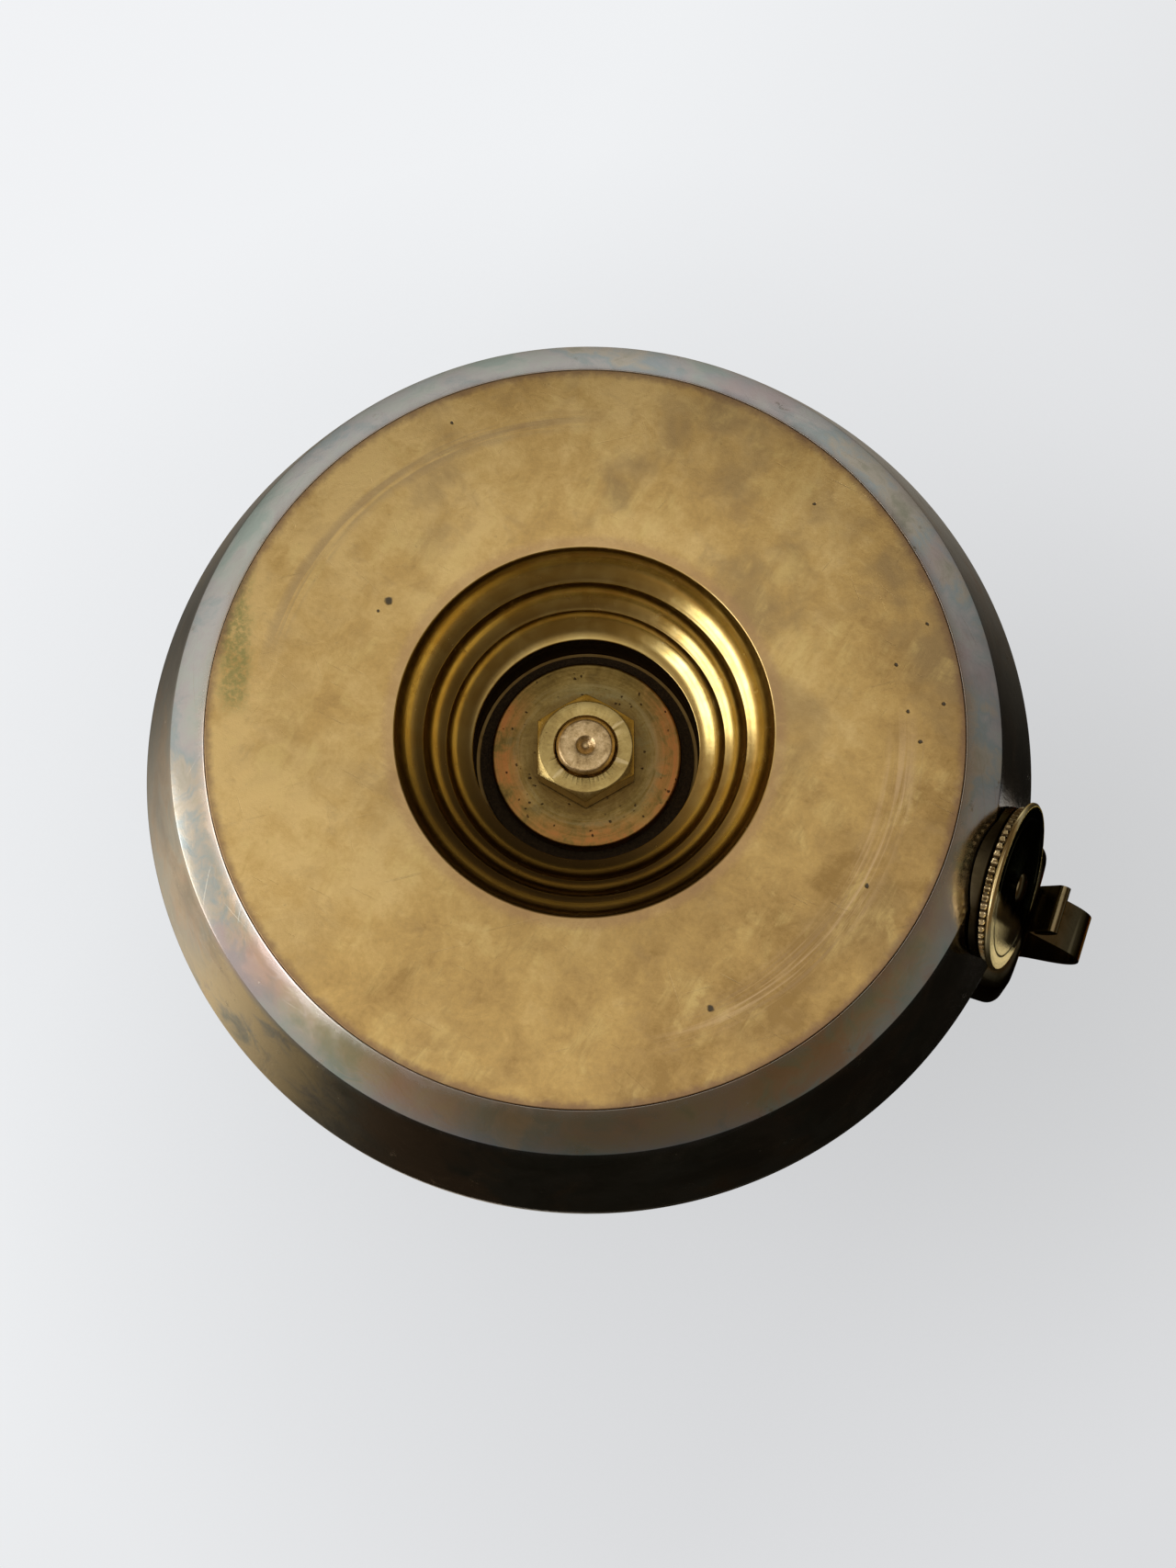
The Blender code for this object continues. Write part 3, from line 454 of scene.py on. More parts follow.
class Look:
    """The node tree of a material or a world."""

    def __init__(self, owner):
        owner.use_nodes = True
        self.owner = owner
        self.tree = owner.node_tree
        self.tree.nodes.clear()

    def put(self, socket, value):
        if isinstance(value, Value):
            self.tree.links.new(value.socket, socket)
        elif socket.type == "RGBA" and len(value) == 3:
            socket.default_value = (*value, 1.0)
        else:
            socket.default_value = value

    def new(self, kind, inputs=(), **attrs):
        node = self.tree.nodes.new(kind)
        for key, value in attrs.items():
            setattr(node, key, value)
        for key, value in inputs.items() if isinstance(inputs, dict) else enumerate(inputs):
            self.put(node.inputs[key], value)
        return node

    def make(self, kind, inputs=(), out=0, **attrs):
        return Value(self, self.new(kind, inputs, **attrs).outputs[out])

    def math(self, operation, first, second):
        return self.make("ShaderNodeMath", (first, second, 0.0), operation=operation)

    def mix(self, amount, first, second, blend="MIX"):
        return self.make("ShaderNodeMix", {0: amount, 6: first, 7: second}, 2,
                         data_type="RGBA", blend_type=blend)

    def geometry(self, out):
        return self.make("ShaderNodeNewGeometry", out=out)

    def worn(self, low, high):
        """Mask of the outer edges."""
        return self.geometry("Pointiness").rise(low, high)

    def place(self):
        """Coordinates in millimetres about the tank's axis, riding with the piece."""
        coord = self.make("ShaderNodeTexCoord", out="Object")
        return coord.vector("SUBTRACT", (AXIS_X, 0.0, 0.0)).vector("MULTIPLY", (1000.0,) * 3)

    def filler_place(self):
        """Coordinates in millimetres in the filler's own frame, with z along its axis."""
        coord = self.make("ShaderNodeTexCoord", out="Object")
        away = coord.vector("SUBTRACT", tuple(FILLER.translation))
        axes = [FILLER.to_3x3().col[i] * 1000.0 for i in range(3)]
        return join(*[away.vector("DOT_PRODUCT", tuple(axis)) for axis in axes])

    def output(self, shader, kind="ShaderNodeOutputMaterial"):
        self.new(kind, {"Surface": shader})
        return self.owner

    def surface(self, base, rough, normal, metal=1.0, aniso=None, **extra):
        settings = {"Base Color": base, "Roughness": rough, "Metallic": metal, "Normal": normal}
        if aniso is not None:
            settings["Anisotropic"] = aniso
            settings["Tangent"] = self.make("ShaderNodeTangent", direction_type="RADIAL", axis="Z")
        for key, value in extra.items():
            settings[key.replace("_", " ")] = value
        return self.output(self.make("ShaderNodeBsdfPrincipled", settings))


def new_look(name):
    return Look(bpy.data.materials.new(name))


def join(x, y, z):
    """A vector from three parts, of which x is a Value."""
    return x.look.make("ShaderNodeCombineXYZ", (x, y, z))


def highest(masks):
    total = masks[0]
    for mask in masks[1:]:
        total = total.math("MAXIMUM", mask)
    return total


def scratch(x, y, angle, length, pitch, low, high, seed):
    """Long thin marks at an angle in degrees; low and high set how few show."""
    c, s = math.cos(math.radians(angle)), math.sin(math.radians(angle))
    along = x * (c / length) + y * (s / length)
    across = x * (-s / pitch) + y * (c / pitch)
    return join(along, across, seed).noise(detail=2.0).rise(low, high)


def spots(place, places):
    """Mask that is 1 inside each round spot (x, y, radius)."""
    masks = []
    for x, y, radius in places:
        away = place.vector("MULTIPLY", (1.0, 1.0, 0.0)).vector("DISTANCE", (x, y, 0.0))
        masks.append(away.fall(radius * 0.55, radius * 1.15))
    return highest(masks)


# ================================================================ materials
# Small dark spots on the base: x, y, radius.
BASE_DOTS = [
    (-25.98, -17.6, 0.62), (16.4, 36.9, 0.50), (42.4, -2.5, 0.32), (47.1, -3.5, 0.32),
    (44.0, 1.7, 0.30), (45.2, -14.4, 0.26), (41.0, -8.8, 0.30), (36.7, 20.8, 0.34),
    (-11.2, 49.4, 0.50), (-18.0, -42.5, 0.24), (-27.4, -16.2, 0.26), (30.5, -31.0, 0.24)]
# Scratches on the base: angle, length, pitch, low, high, amount.
BASE_SCRATCHES = [
    (28, 9, 0.16, 0.70, 0.76, 1.0), (-52, 7, 0.20, 0.71, 0.77, 0.9),
    (71, 14, 0.15, 0.72, 0.78, 0.8), (-14, 18, 0.22, 0.70, 0.76, 0.7),
    (43, 24, 0.12, 0.71, 0.77, 0.8)]


def base_flat(place, x, y, radius):
    """Colour, roughness and height of the matte flat of the base."""
    plan = place.vector("MULTIPLY", (1.0, 1.0, 0.0))
    broad = plan.warp(scale=0.05, amount=14.0).noise(scale=0.045, detail=4.0, rough=0.62, distort=0.3)
    mid = plan.warp(scale=0.2, amount=4.0).noise(scale=0.16, detail=6.0, rough=0.68, distort=0.5)
    fine = place.noise(scale=1.3, detail=5.0, rough=0.72)
    grain = place.noise(scale=6.0, rough=0.6)

    def smear(c, s, along, across, seed):
        """Noise drawn out along the direction (c, s)."""
        drawn = join((x * c + y * s) * along, (x * -s + y * c) * across, seed)
        return drawn.noise(detail=5.0, rough=0.7)

    smear_1 = smear(c=0.82, s=0.57, along=0.05, across=0.26, seed=3.1)
    smear_2 = smear(c=0.5, s=-0.86, along=0.06, across=0.33, seed=8.7)
    tone = broad * 0.52 + mid * 0.42 + smear_1 * 0.14 + smear_2 * 0.12 + fine * 0.16
    # brighter and yellower towards -x and -y
    tone += x * -0.0017 + y * -0.0014
    tone = (tone - 0.68) * 1.70 + 0.630
    colour = tone.ramp((0.32, (0.44, 0.278, 0.100)), (0.48, (0.60, 0.396, 0.152)),
                       (0.62, (0.73, 0.498, 0.190)), (0.82, (0.90, 0.66, 0.290)))
    # grey film where it has been handled
    film = plan.warp(scale=0.08, amount=8.0).noise(scale=0.06, detail=4.0, rough=0.6).rise(0.47, 0.66)
    film = film * (x * 0.6 + y * -1.0).rise(-20.0, 45.0, start=0.18, end=0.75)
    colour = colour.toward((0.49, 0.35, 0.175), film)
    # yellow polished smears, and darker rubs between them
    rubbed = plan.warp(scale=0.11, amount=9.0).vector("ADD", (51.0, 23.0, 0.0))
    rubbed = rubbed.noise(scale=0.11, detail=6.0, rough=0.68, distort=0.4)
    gold = rubbed.rise(0.50, 0.66) * smear_2.rise(0.38, 0.62) * 0.60
    colour = colour.toward((0.90, 0.69, 0.29), gold)
    drag = rubbed.rise(0.50, 0.34) * smear_1.rise(0.44, 0.64) * 0.40
    colour = colour.toward((0.47, 0.315, 0.150), drag)
    # brown speckle
    speck = plan.warp(scale=0.7, amount=1.2).cells(scale=0.42).fall(0.05, 0.16) * fine.rise(0.50, 0.66)
    colour = colour.toward((0.33, 0.20, 0.08), speck * 0.45)
    # greenish stain near the -x edge
    stain = (x + (mid - 0.5) * 5.0).band(-48.2, -44.4, soft=1.0)
    stain = stain * (y + (broad - 0.5) * 12.0).band(-27.0, -3.0, soft=3.0)
    stain = stain * fine.rise(0.30, 0.62) * 0.75
    colour = colour.toward((0.36, 0.36, 0.14), stain)
    # faint worn arcs: side, inner and outer radius, softness, break-up, amount, colour
    minus_side = (x * -0.60 + y * -0.80).rise(30.0, 39.0)
    plus_side = (x * 0.80 + y * 0.60).rise(30.0, 39.0)
    broken = join(radius * 1.05, x * 0.03, y * 0.03).noise(rough=0.7)
    wavy = radius + (mid - 0.5) * 2.2
    for side, inner, outer, soft, shown, amount, tint in (
            (minus_side, 41.6, 44.0, 0.9, (0.36, 0.56), 0.50, (0.44, 0.31, 0.19)),
            (plus_side, 39.6, 43.2, 1.2, (0.44, 0.60), 0.55, (0.88, 0.64, 0.38)),
            (plus_side, 38.0, 44.5, 1.2, (0.46, 0.34), 0.45, (0.50, 0.34, 0.19))):
        colour = colour.toward(tint, wavy.band(inner, outer, soft) * side * broken.rise(*shown) * amount)
    # pinkish rim of the well, dark line at the outer edge
    rim = (radius + (fine - 0.5) * 1.4).band(24.7, 26.5, soft=0.7) * 0.42
    colour = colour.toward((0.55, 0.34, 0.20), rim)
    ragged = place.noise(scale=0.5, detail=4.0, rough=0.7)
    edge = (radius + (ragged - 0.5) * 2.0).rise(48.5, 49.9)
    colour = colour.toward((0.27, 0.16, 0.11), edge * 0.7)
    pits = spots(plan.warp(scale=1.2, amount=0.5), BASE_DOTS)
    colour = colour.toward((0.075, 0.068, 0.058), pits * 0.92)
    marks = highest([
        scratch(x, y, *shape, seed=3.7 * i + 1.3)
        * plan.noise(scale=0.07 + 0.013 * i, detail=2.0).rise(0.48, 0.60) * amount
        for i, (*shape, amount) in enumerate(BASE_SCRATCHES)])
    colour = colour.toward((0.90, 0.72, 0.40), marks * 0.40)
    rough = 0.36 + mid * 0.16 + film * 0.10 + marks * -0.06 + stain * 0.15
    height = fine * 0.35 + grain * 0.18 + mid * 0.8 + marks * -0.35 + pits * -0.9
    return colour, rough, height


def base_well(look, place, x, y, z, radius):
    """Colour, roughness and height of the turned well."""
    lines = join(radius * 3.4, z * 3.4, 0.0).noise(rough=0.75)
    coarse = join(radius * 0.9, z * 0.9, 5.0).noise(detail=2.0, rough=0.6)
    cloud = place.noise(scale=0.22, detail=4.0, rough=0.6, distort=0.4)
    tarnish = place.warp(scale=0.3, amount=3.0).noise(scale=0.5, detail=5.0, rough=0.7)
    colour = look.mix(cloud.rise(0.35, 0.68), (0.68, 0.48, 0.150), (0.84, 0.66, 0.26))
    colour = colour.toward((0.52, 0.34, 0.12), tarnish.rise(0.52, 0.75) * 0.5)
    # soot and old polish in the inner corners of the steps
    corners = highest([abs(z - (step_z - 0.15)).fall(0.0, 0.9)
                       * abs(radius - (step_r + 0.5)).fall(0.0, 1.3) for step_r, step_z in WELL[1:]])
    # painted shade: the deep bottom of the well, below the last step, is darkened
    deep_floor_shade = z.rise(11.4, 14.5)
    # painted shade and reflection: steep risers of the steps are darkened, flat treads a little, by the
    # way they face
    facing = abs(look.geometry("Normal").xyz()[2])
    riser_shade = (facing + (tarnish - 0.5) * 0.2).rise(0.64, 0.30)
    tread_shade = (facing + (tarnish - 0.5) * 0.1).rise(0.78, 0.90)
    colour = colour.toward((0.19, 0.135, 0.056), riser_shade * 0.86)
    colour = colour.toward((0.26, 0.180, 0.075), tread_shade * 0.10)
    # painted shade: the +y side of the well is darker, where its steps face away from the light
    far_side_shade = (y + x * -0.25 + (cloud - 0.5) * 9.0).rise(1.0, 17.0)
    colour = colour.toward((0.13, 0.095, 0.042), far_side_shade * 0.90)
    colour = colour.toward((0.30, 0.19, 0.08), corners * 0.35)
    colour = colour.toward((0.12, 0.066, 0.022), deep_floor_shade * 0.88)
    rough = 0.15 + lines * 0.07 + tarnish.rise(0.45, 0.8) * 0.14 + deep_floor_shade * 0.25
    return colour, rough, lines * 0.6 + coarse * 0.5


def look_base():
    """Matte worn brass on the flat of the base, fine turned brass inside the well."""
    look = new_look("raw_brass_look")
    place = look.place()
    x, y, z = place.xyz()
    radius = x.hypot(y)
    flat_colour, flat_rough, flat_height = base_flat(place, x, y, radius)
    well_colour, well_rough, well_height = base_well(look, place, x, y, z, radius)
    inside = radius.fall(24.9, 25.25)
    relief = (flat_height * (1.0 - inside)).bump(depth=0.055, strength=0.9)
    relief = (well_height * inside).bump(depth=0.016, strength=0.9, over=relief)
    return look.surface(flat_colour.toward(well_colour, inside), flat_rough.blend(well_rough, inside),
                        relief, aniso=inside * 0.55)


def look_shell():
    """Once-polished brass, now dark with an oil-slick tarnish."""
    look = new_look("dark_brass_look")
    place = look.place()
    x, y, z = place.xyz()
    radius = x.hypot(y)
    around = y.math("ARCTAN2", x)
    broad = place.warp(scale=0.06, amount=12.0).noise(scale=0.035, detail=4.0, rough=0.6, distort=0.4)
    mid = place.warp(scale=0.15, amount=5.0).noise(scale=0.13, detail=5.0, rough=0.65, distort=0.5)
    fine = place.noise(scale=0.9, detail=5.0, rough=0.7)
    grain = place.noise(scale=5.0, rough=0.6)
    hue = (broad * 0.74 + mid * 0.30 + fine * 0.05 - 0.545) * 1.5 + 0.545
    film = hue.ramp((0.36, (0.50, 0.54, 0.44)), (0.45, (0.63, 0.60, 0.50)), (0.52, (0.64, 0.57, 0.50)),
                    (0.59, (0.50, 0.52, 0.47)), (0.66, (0.68, 0.57, 0.43)), (0.75, (0.50, 0.45, 0.31)))
    # pink and blue breath of tarnish in patches
    pink = place.warp(scale=0.1, amount=6.0).noise(scale=0.055, rough=0.55).rise(0.54, 0.72)
    film = film.toward((0.66, 0.48, 0.44), pink * 0.75)
    blue = place.vector("ADD", (37.0, 11.0, 5.0)).noise(scale=0.050, rough=0.55).rise(0.56, 0.72)
    film = film.toward((0.44, 0.51, 0.54), blue * 0.55)
    # lilac close to the base edge, warm brown up the wall
    lilac = radius.fall(50.0, 51.8) * z.fall(0.0, 3.0)
    film = film.toward((0.60, 0.53, 0.50), lilac * 0.45)
    wall = z.rise(4.6, 7.0)
    brown = (mid * 0.5 + broad * 0.5).ramp(
        (0.38, (0.40, 0.36, 0.24)), (0.50, (0.56, 0.48, 0.32)),
        (0.60, (0.62, 0.42, 0.22)), (0.72, (0.48, 0.44, 0.32)))
    film = film.toward(brown, wall * 0.70)
    # reddish vertical streaks on the wall
    streaks = join(around * 3.2, z * 0.035, radius * 0.02).warp(scale=1.6, amount=0.5)
    low_wall = wall * z.fall(20.0, 25.0)
    red = streaks.noise(scale=1.6, detail=4.0, rough=0.6).rise(0.56, 0.70) * low_wall
    film = film.toward((0.70, 0.35, 0.16), red * 0.52)
    # heat-brown patch on one side of the bevel and low wall
    wander = around + (broad - 0.5) * 0.5 + (mid - 0.5) * 0.25
    patch = (wander * 57.3).band(34.0, 64.0, soft=9.0) * mid.rise(0.34, 0.60)
    patch = patch * z.rise(12.0, 20.0, start=0.75, end=0.0)
    film = film.toward((0.66, 0.42, 0.25), patch)
    sooty = place.warp(scale=0.12, amount=7.0).noise(scale=0.075, detail=5.0, rough=0.62, distort=0.4)
    sooty = sooty.rise(0.44, 0.68) * wall * z.rise(20.0, 34.0, start=0.66, end=0.34)
    film = film.toward((0.26, 0.215, 0.135), sooty)
    # golden patches round the low wall
    gold = abs(wander * 57.3).band(126.0, 152.0, soft=7.0) * low_wall * mid.rise(0.36, 0.56) * 0.85
    film = film.toward((0.98, 0.74, 0.36), gold)
    copper = (wander * 57.3).band(104.0, 118.0, soft=4.0) * low_wall * 0.80
    film = film.toward((0.95, 0.60, 0.34), copper)
    # dull spots where the film has lifted
    lift = place.warp(scale=0.5, amount=2.0).cells(scale=0.16).fall(0.10, 0.22) * fine.rise(0.5, 0.62)
    film = film.toward((0.33, 0.26, 0.15), lift * 0.4)
    # light specks
    speck = place.cells(scale=0.33).fall(0.03, 0.075) * mid.rise(0.48, 0.60)
    film = film.toward((0.74, 0.66, 0.50), speck * 0.5)
    rough = (0.105 + mid.rise(0.42, 0.74) * 0.10 + fine.rise(0.5, 0.8) * 0.06 + lift * 0.16
             + speck * 0.2 + lilac * 0.14 + (1.0 - wall) * 0.055)
    # hairlines, on the wall unrolled at a radius of 55
    hair = highest([
        scratch(around * 55.0, z, angle=12, length=22, pitch=0.20, low=0.70, high=0.76, seed=2.2),
        scratch(around * 55.0, z, angle=-37, length=14, pitch=0.18, low=0.71, high=0.77, seed=6.1)])
    height = mid * 1.0 + fine * 0.22 + grain * 0.05 + hair * -0.10 + lift * 0.1
    return look.surface(film, rough, height.bump(depth=0.045))


def look_bright():
    """Turned brass of the burner head, aged but cleaner."""
    look = new_look("bright_brass_look")
    place = look.place()
    x, y, z = place.xyz()
    lines = join(x.hypot(y) * 4.5, z * 4.5, 1.0).noise(rough=0.75)
    cloud = place.warp(scale=0.2, amount=4.0).noise(scale=0.16, detail=5.0, rough=0.65, distort=0.4)
    fine = place.noise(scale=1.6, detail=5.0, rough=0.7)
    colour = (cloud * 0.75 + fine * 0.25).ramp(
        (0.34, (0.56, 0.38, 0.16)), (0.50, (0.74, 0.55, 0.25)), (0.66, (0.84, 0.66, 0.33)))
    heat = place.warp(scale=0.4, amount=2.0).noise(scale=0.25, detail=4.0, rough=0.6)
    heat = z.rise(76.0, 90.0) * heat.rise(0.40, 0.62) * 0.55
    colour = colour.toward((0.46, 0.27, 0.17), heat)
    dark = place.warp(scale=0.8, amount=1.0).cells(scale=0.55).fall(0.06, 0.17) * fine.rise(0.50, 0.62)
    colour = colour.toward((0.26, 0.16, 0.07), dark * 0.55)
    colour = colour.toward((0.92, 0.76, 0.44), look.worn(0.53, 0.60) * 0.5)
    rough = 0.20 + lines * 0.08 + cloud.rise(0.42, 0.72) * 0.12 + dark * 0.15
    return look.surface(colour, rough, (lines * 0.6 + fine * 0.5).bump(depth=0.02), aniso=0.4)


def look_nut():
    """Brass hexagon nut with faint facing marks and bruised corners."""
    look = new_look("nut_brass_look")
    place = look.place()
    x, y, z = place.xyz()
    fine = place.noise(scale=2.2, detail=5.0, rough=0.7)
    cloud = place.warp(scale=0.5, amount=2.0).noise(scale=0.45, detail=4.0, rough=0.6)
    lines = join(x.hypot(y) * 5.5, z * 1.0, 0.0).noise(rough=0.75)
    colour = (cloud * 0.7 + fine * 0.3).ramp(
        (0.35, (0.33, 0.228, 0.080)), (0.50, (0.445, 0.325, 0.118)), (0.65, (0.56, 0.425, 0.172)))
    dark = place.warp(scale=1.0, amount=0.8).cells(scale=1.1).fall(0.05, 0.20) * fine.rise(0.48, 0.62)
    colour = colour.toward((0.24, 0.15, 0.06), dark * 0.5)
    colour = colour.toward((0.80, 0.64, 0.36), look.worn(0.52, 0.60) * 0.5)
    rough = 0.22 + fine * 0.14 + dark * 0.2
    height = lines * 0.35 + fine * 0.7 + dark * -0.5
    return look.surface(colour, rough, height.bump(depth=0.035), aniso=0.3)


def look_washer():
    """Washer stained orange-brown, greener round the nut, with small dark pits; its tones are darkened
    as painted shade deep in the well.
    """
    look = new_look("stained_brass_look")
    place = look.place()
    x, y, _ = place.xyz()
    radius = x.hypot(y)
    fine = place.noise(scale=2.0, detail=5.0, rough=0.72)
    cloud = place.warp(scale=0.5, amount=3.0).noise(scale=0.28, detail=4.0, rough=0.65, distort=0.4)
    turned = join(radius * 1.7, x * 0.10, y * 0.10).noise(detail=4.0, rough=0.72)
    # painted shade: these base tones are darker than the stain alone, for the washer's place deep in the
    # well
    colour = (cloud * 0.46 + turned * 0.34 + fine * 0.20).ramp(
        (0.36, (0.125, 0.079, 0.023)), (0.47, (0.215, 0.142, 0.040)),
        (0.56, (0.30, 0.205, 0.062)), (0.68, (0.42, 0.310, 0.120)))
    orange = abs(x).math("MAXIMUM", y * 0.92).rise(6.0, 11.5) * radius.rise(7.6, 11.0)
    orange = orange * cloud.rise(0.36, 0.58)
    colour = colour.toward((0.43, 0.155, 0.045), orange * turned.rise(0.34, 0.60, start=0.35) * 0.85)
    green = (x * 0.7 + y * -0.9).rise(1.5, 9.0) * radius.rise(11.5, 6.5) * cloud.rise(0.42, 0.62)
    colour = colour.toward((0.20, 0.195, 0.095), green * 0.75)
    grey = (radius + (cloud - 0.5) * 5.0).band(8.6, 10.2, soft=1.0) * turned.rise(0.40, 0.60) * 0.34
    colour = colour.toward((0.25, 0.215, 0.12), grey)
    oil = (radius + (fine - 0.5) * 2.2).fall(7.6, 9.4)
    colour = colour.toward((0.15, 0.095, 0.035), oil * 0.5)
    pits = place.warp(scale=1.5, amount=0.6).cells(scale=1.0).fall(0.10, 0.24)
    pits = pits * place.noise(scale=0.30, detail=2.0).rise(0.47, 0.56)
    colour = colour.toward((0.050, 0.030, 0.018), pits * 0.9)
    rough = 0.30 + fine * 0.16 + pits * 0.2
    lines = join(radius * 3.8, 0.0, 0.0).noise(rough=0.7)
    height = fine * 0.7 + lines * 0.4 + pits * -0.8
    return look.surface(colour, rough, height.bump(depth=0.045, strength=0.9), aniso=0.35)


def look_rod():
    """Bare stud: pale warm metal, scratched round its end."""
    look = new_look("rod_steel_look")
    place = look.place()
    x, y, _ = place.xyz()
    fine = place.noise(scale=3.0, detail=5.0, rough=0.7)
    cloud = place.warp(scale=0.8, amount=1.5).noise(scale=0.7, detail=4.0, rough=0.65)
    arcs = join(x.hypot(y) * 4.2, 0.0, 3.0).noise(rough=0.75)
    colour = (cloud * 0.55 + fine * 0.25 + arcs * 0.2).ramp(
        (0.36, (0.22, 0.14, 0.060)), (0.46, (0.50, 0.35, 0.17)),
        (0.56, (0.72, 0.53, 0.29)), (0.70, (0.95, 0.78, 0.52)))
    relief = (fine * 0.8 + arcs * 0.5).bump(depth=0.045, strength=0.9)
    return look.surface(colour, 0.24 + fine * 0.16, relief, aniso=0.25)


def look_handled(name, tint, dull, graze):
    """Handled honey-brown brass; tint darkens it, dull roughens it, graze colours its glance."""
    def tinted(*colour):
        return tuple(part * tint for part in colour)

    look = new_look(name)
    place = look.place()
    fine = place.noise(scale=1.8, detail=5.0, rough=0.7)
    mid = place.warp(scale=0.4, amount=3.0).noise(scale=0.28, detail=5.0, rough=0.65, distort=0.4)
    colour = (mid * 0.75 + fine * 0.25).ramp(
        (0.34, tinted(0.34, 0.25, 0.12)), (0.48, tinted(0.56, 0.43, 0.22)),
        (0.60, tinted(0.66, 0.50, 0.28)), (0.72, tinted(0.52, 0.46, 0.30)))
    red = place.warp(scale=0.3, amount=3.0).noise(scale=0.22, rough=0.6).rise(0.54, 0.70)
    colour = colour.toward(tinted(0.60, 0.34, 0.17), red * 0.5)
    shine = min(1.0, tint * 2.0)
    rubbed = tuple(part * shine for part in (0.88, 0.70, 0.38))
    colour = colour.toward(rubbed, look.worn(0.525, 0.60) * 0.6)
    dirt = place.warp(scale=1.0, amount=0.8).cells(scale=0.9).fall(0.05, 0.16) * fine.rise(0.50, 0.64)
    colour = colour.toward((0.12, 0.075, 0.035), dirt * 0.6)
    rough = 0.12 + dull + mid * 0.10 + fine * 0.05 + dirt * 0.25
    relief = (mid * 0.7 + fine * 0.3).bump(depth=0.05)
    return look.surface(colour, rough, relief, Specular_Tint=graze)


def look_disc():
    """Thin disc: worn golden rim, tarnished face painted bright on its +y side, partly rubbed brass and
    partly a painted reflection of the pale table.
    """
    look = new_look("disc_brass_look")
    place = look.filler_place()
    x, y, _ = place.xyz()
    radius = x.hypot(y)
    fine = place.noise(scale=1.8, detail=5.0, rough=0.7)
    mid = place.warp(scale=0.4, amount=3.0).noise(scale=0.26, detail=5.0, rough=0.65, distort=0.4)
    lines = join(radius * 3.6, 0.0, 3.0).noise(rough=0.75)
    colour = (mid * 0.75 + fine * 0.25).ramp(
        (0.34, (0.045, 0.036, 0.020)), (0.50, (0.090, 0.078, 0.045)), (0.64, (0.16, 0.150, 0.095)))
    # partly rubbed brass, partly a painted reflection of the pale table: the +y side of the face is made
    # bright yellow
    rub_and_table_reflection = (y + (mid - 0.5) * 4.0).rise(2.6, 4.4) * fine.rise(0.30, 0.50, start=0.7)
    colour = colour.toward((0.90, 0.76, 0.43), rub_and_table_reflection)
    rim = (radius + (fine - 0.5) * 0.5).rise(10.9, 11.3)
    colour = colour.toward((0.88, 0.68, 0.34), rim * 0.85)
    rough = 0.14 + mid * 0.08 + fine * 0.05 + rub_and_table_reflection * 0.04
    height = lines * 0.5 + mid * 0.6 + fine * 0.3
    graze = look.mix(highest([rub_and_table_reflection, rim]), (0.10, 0.105, 0.095), (0.78, 0.66, 0.42))
    return look.surface(colour, rough, height.bump(depth=0.03), Specular_Tint=graze)


def look_fibre():
    """Dark felted gasket."""
    look = new_look("gasket_fibre_look")
    place = look.place()
    fine = place.noise(scale=2.4, detail=6.0, rough=0.75)
    felt = place.vector("MULTIPLY", (3.0, 3.0, 14.0)).noise(detail=4.0, rough=0.7)
    colour = (fine * 0.6 + felt * 0.4).ramp(
        (0.35, (0.016, 0.010, 0.004)), (0.55, (0.048, 0.029, 0.012)), (0.72, (0.105, 0.068, 0.032)))
    relief = (fine + felt * 0.6).bump(depth=0.14, strength=0.9)
    return look.surface(colour, 0.55 + fine * 0.3, relief, metal=0.0, Specular_IOR_Level=0.18)


def look_cotton(name, singed):
    """Raw cotton: creamy yarn, fuel-yellowed; the wick is singed towards its top."""
    look = new_look(name)
    place = look.place()
    fine = place.noise(scale=5.0, detail=5.0, rough=0.75)
    mid = place.noise(scale=0.6, detail=4.0, rough=0.6)
    colour = (fine * 0.5 + mid * 0.5).ramp(
        (0.34, (0.50, 0.42, 0.29)), (0.52, (0.70, 0.63, 0.49)), (0.68, (0.84, 0.79, 0.67)))
    if singed:
        z = place.xyz()[2]
        burn = (z + (mid - 0.5) * 2.4 + (fine - 0.5) * 1.2).rise(84.6, 87.4)
        tan = (z + (mid - 0.5) * 4.0).rise(81.0, 86.0)
        colour = colour.toward((0.36, 0.22, 0.10), tan * 0.7)
        colour = colour.toward((0.022, 0.018, 0.015), burn * 0.94)
    return look.surface(colour, 0.82 + fine * 0.15, fine.bump(depth=0.16, strength=0.9), metal=0.0,
                        Sheen_Weight=0.35, Sheen_Roughness=0.6)


def look_wood():
    """Turned dark hardwood, oiled, with grain along its length."""
    look = new_look("knob_hardwood_look")
    place = look.place()
    grain = place.warp(scale=0.5, amount=1.0).vector("MULTIPLY", (2.6, 2.6, 0.25))
    grain = grain.noise(detail=5.0, rough=0.65, distort=0.3)
    pore = place.vector("MULTIPLY", (9.0, 9.0, 0.9)).noise(detail=4.0, rough=0.7)
    colour = grain.ramp((0.32, (0.035, 0.016, 0.008)), (0.48, (0.105, 0.048, 0.022)),
                        (0.62, (0.19, 0.090, 0.042)), (0.78, (0.10, 0.050, 0.025)))
    colour = colour.toward((0.020, 0.010, 0.006), pore.rise(0.56, 0.70) * 0.6)
    relief = (grain * 0.4 + pore * -0.6).bump(depth=0.08)
    return look.surface(colour, 0.32 + pore * 0.22, relief, metal=0.0,
                        Coat_Weight=0.25, Coat_Roughness=0.25)


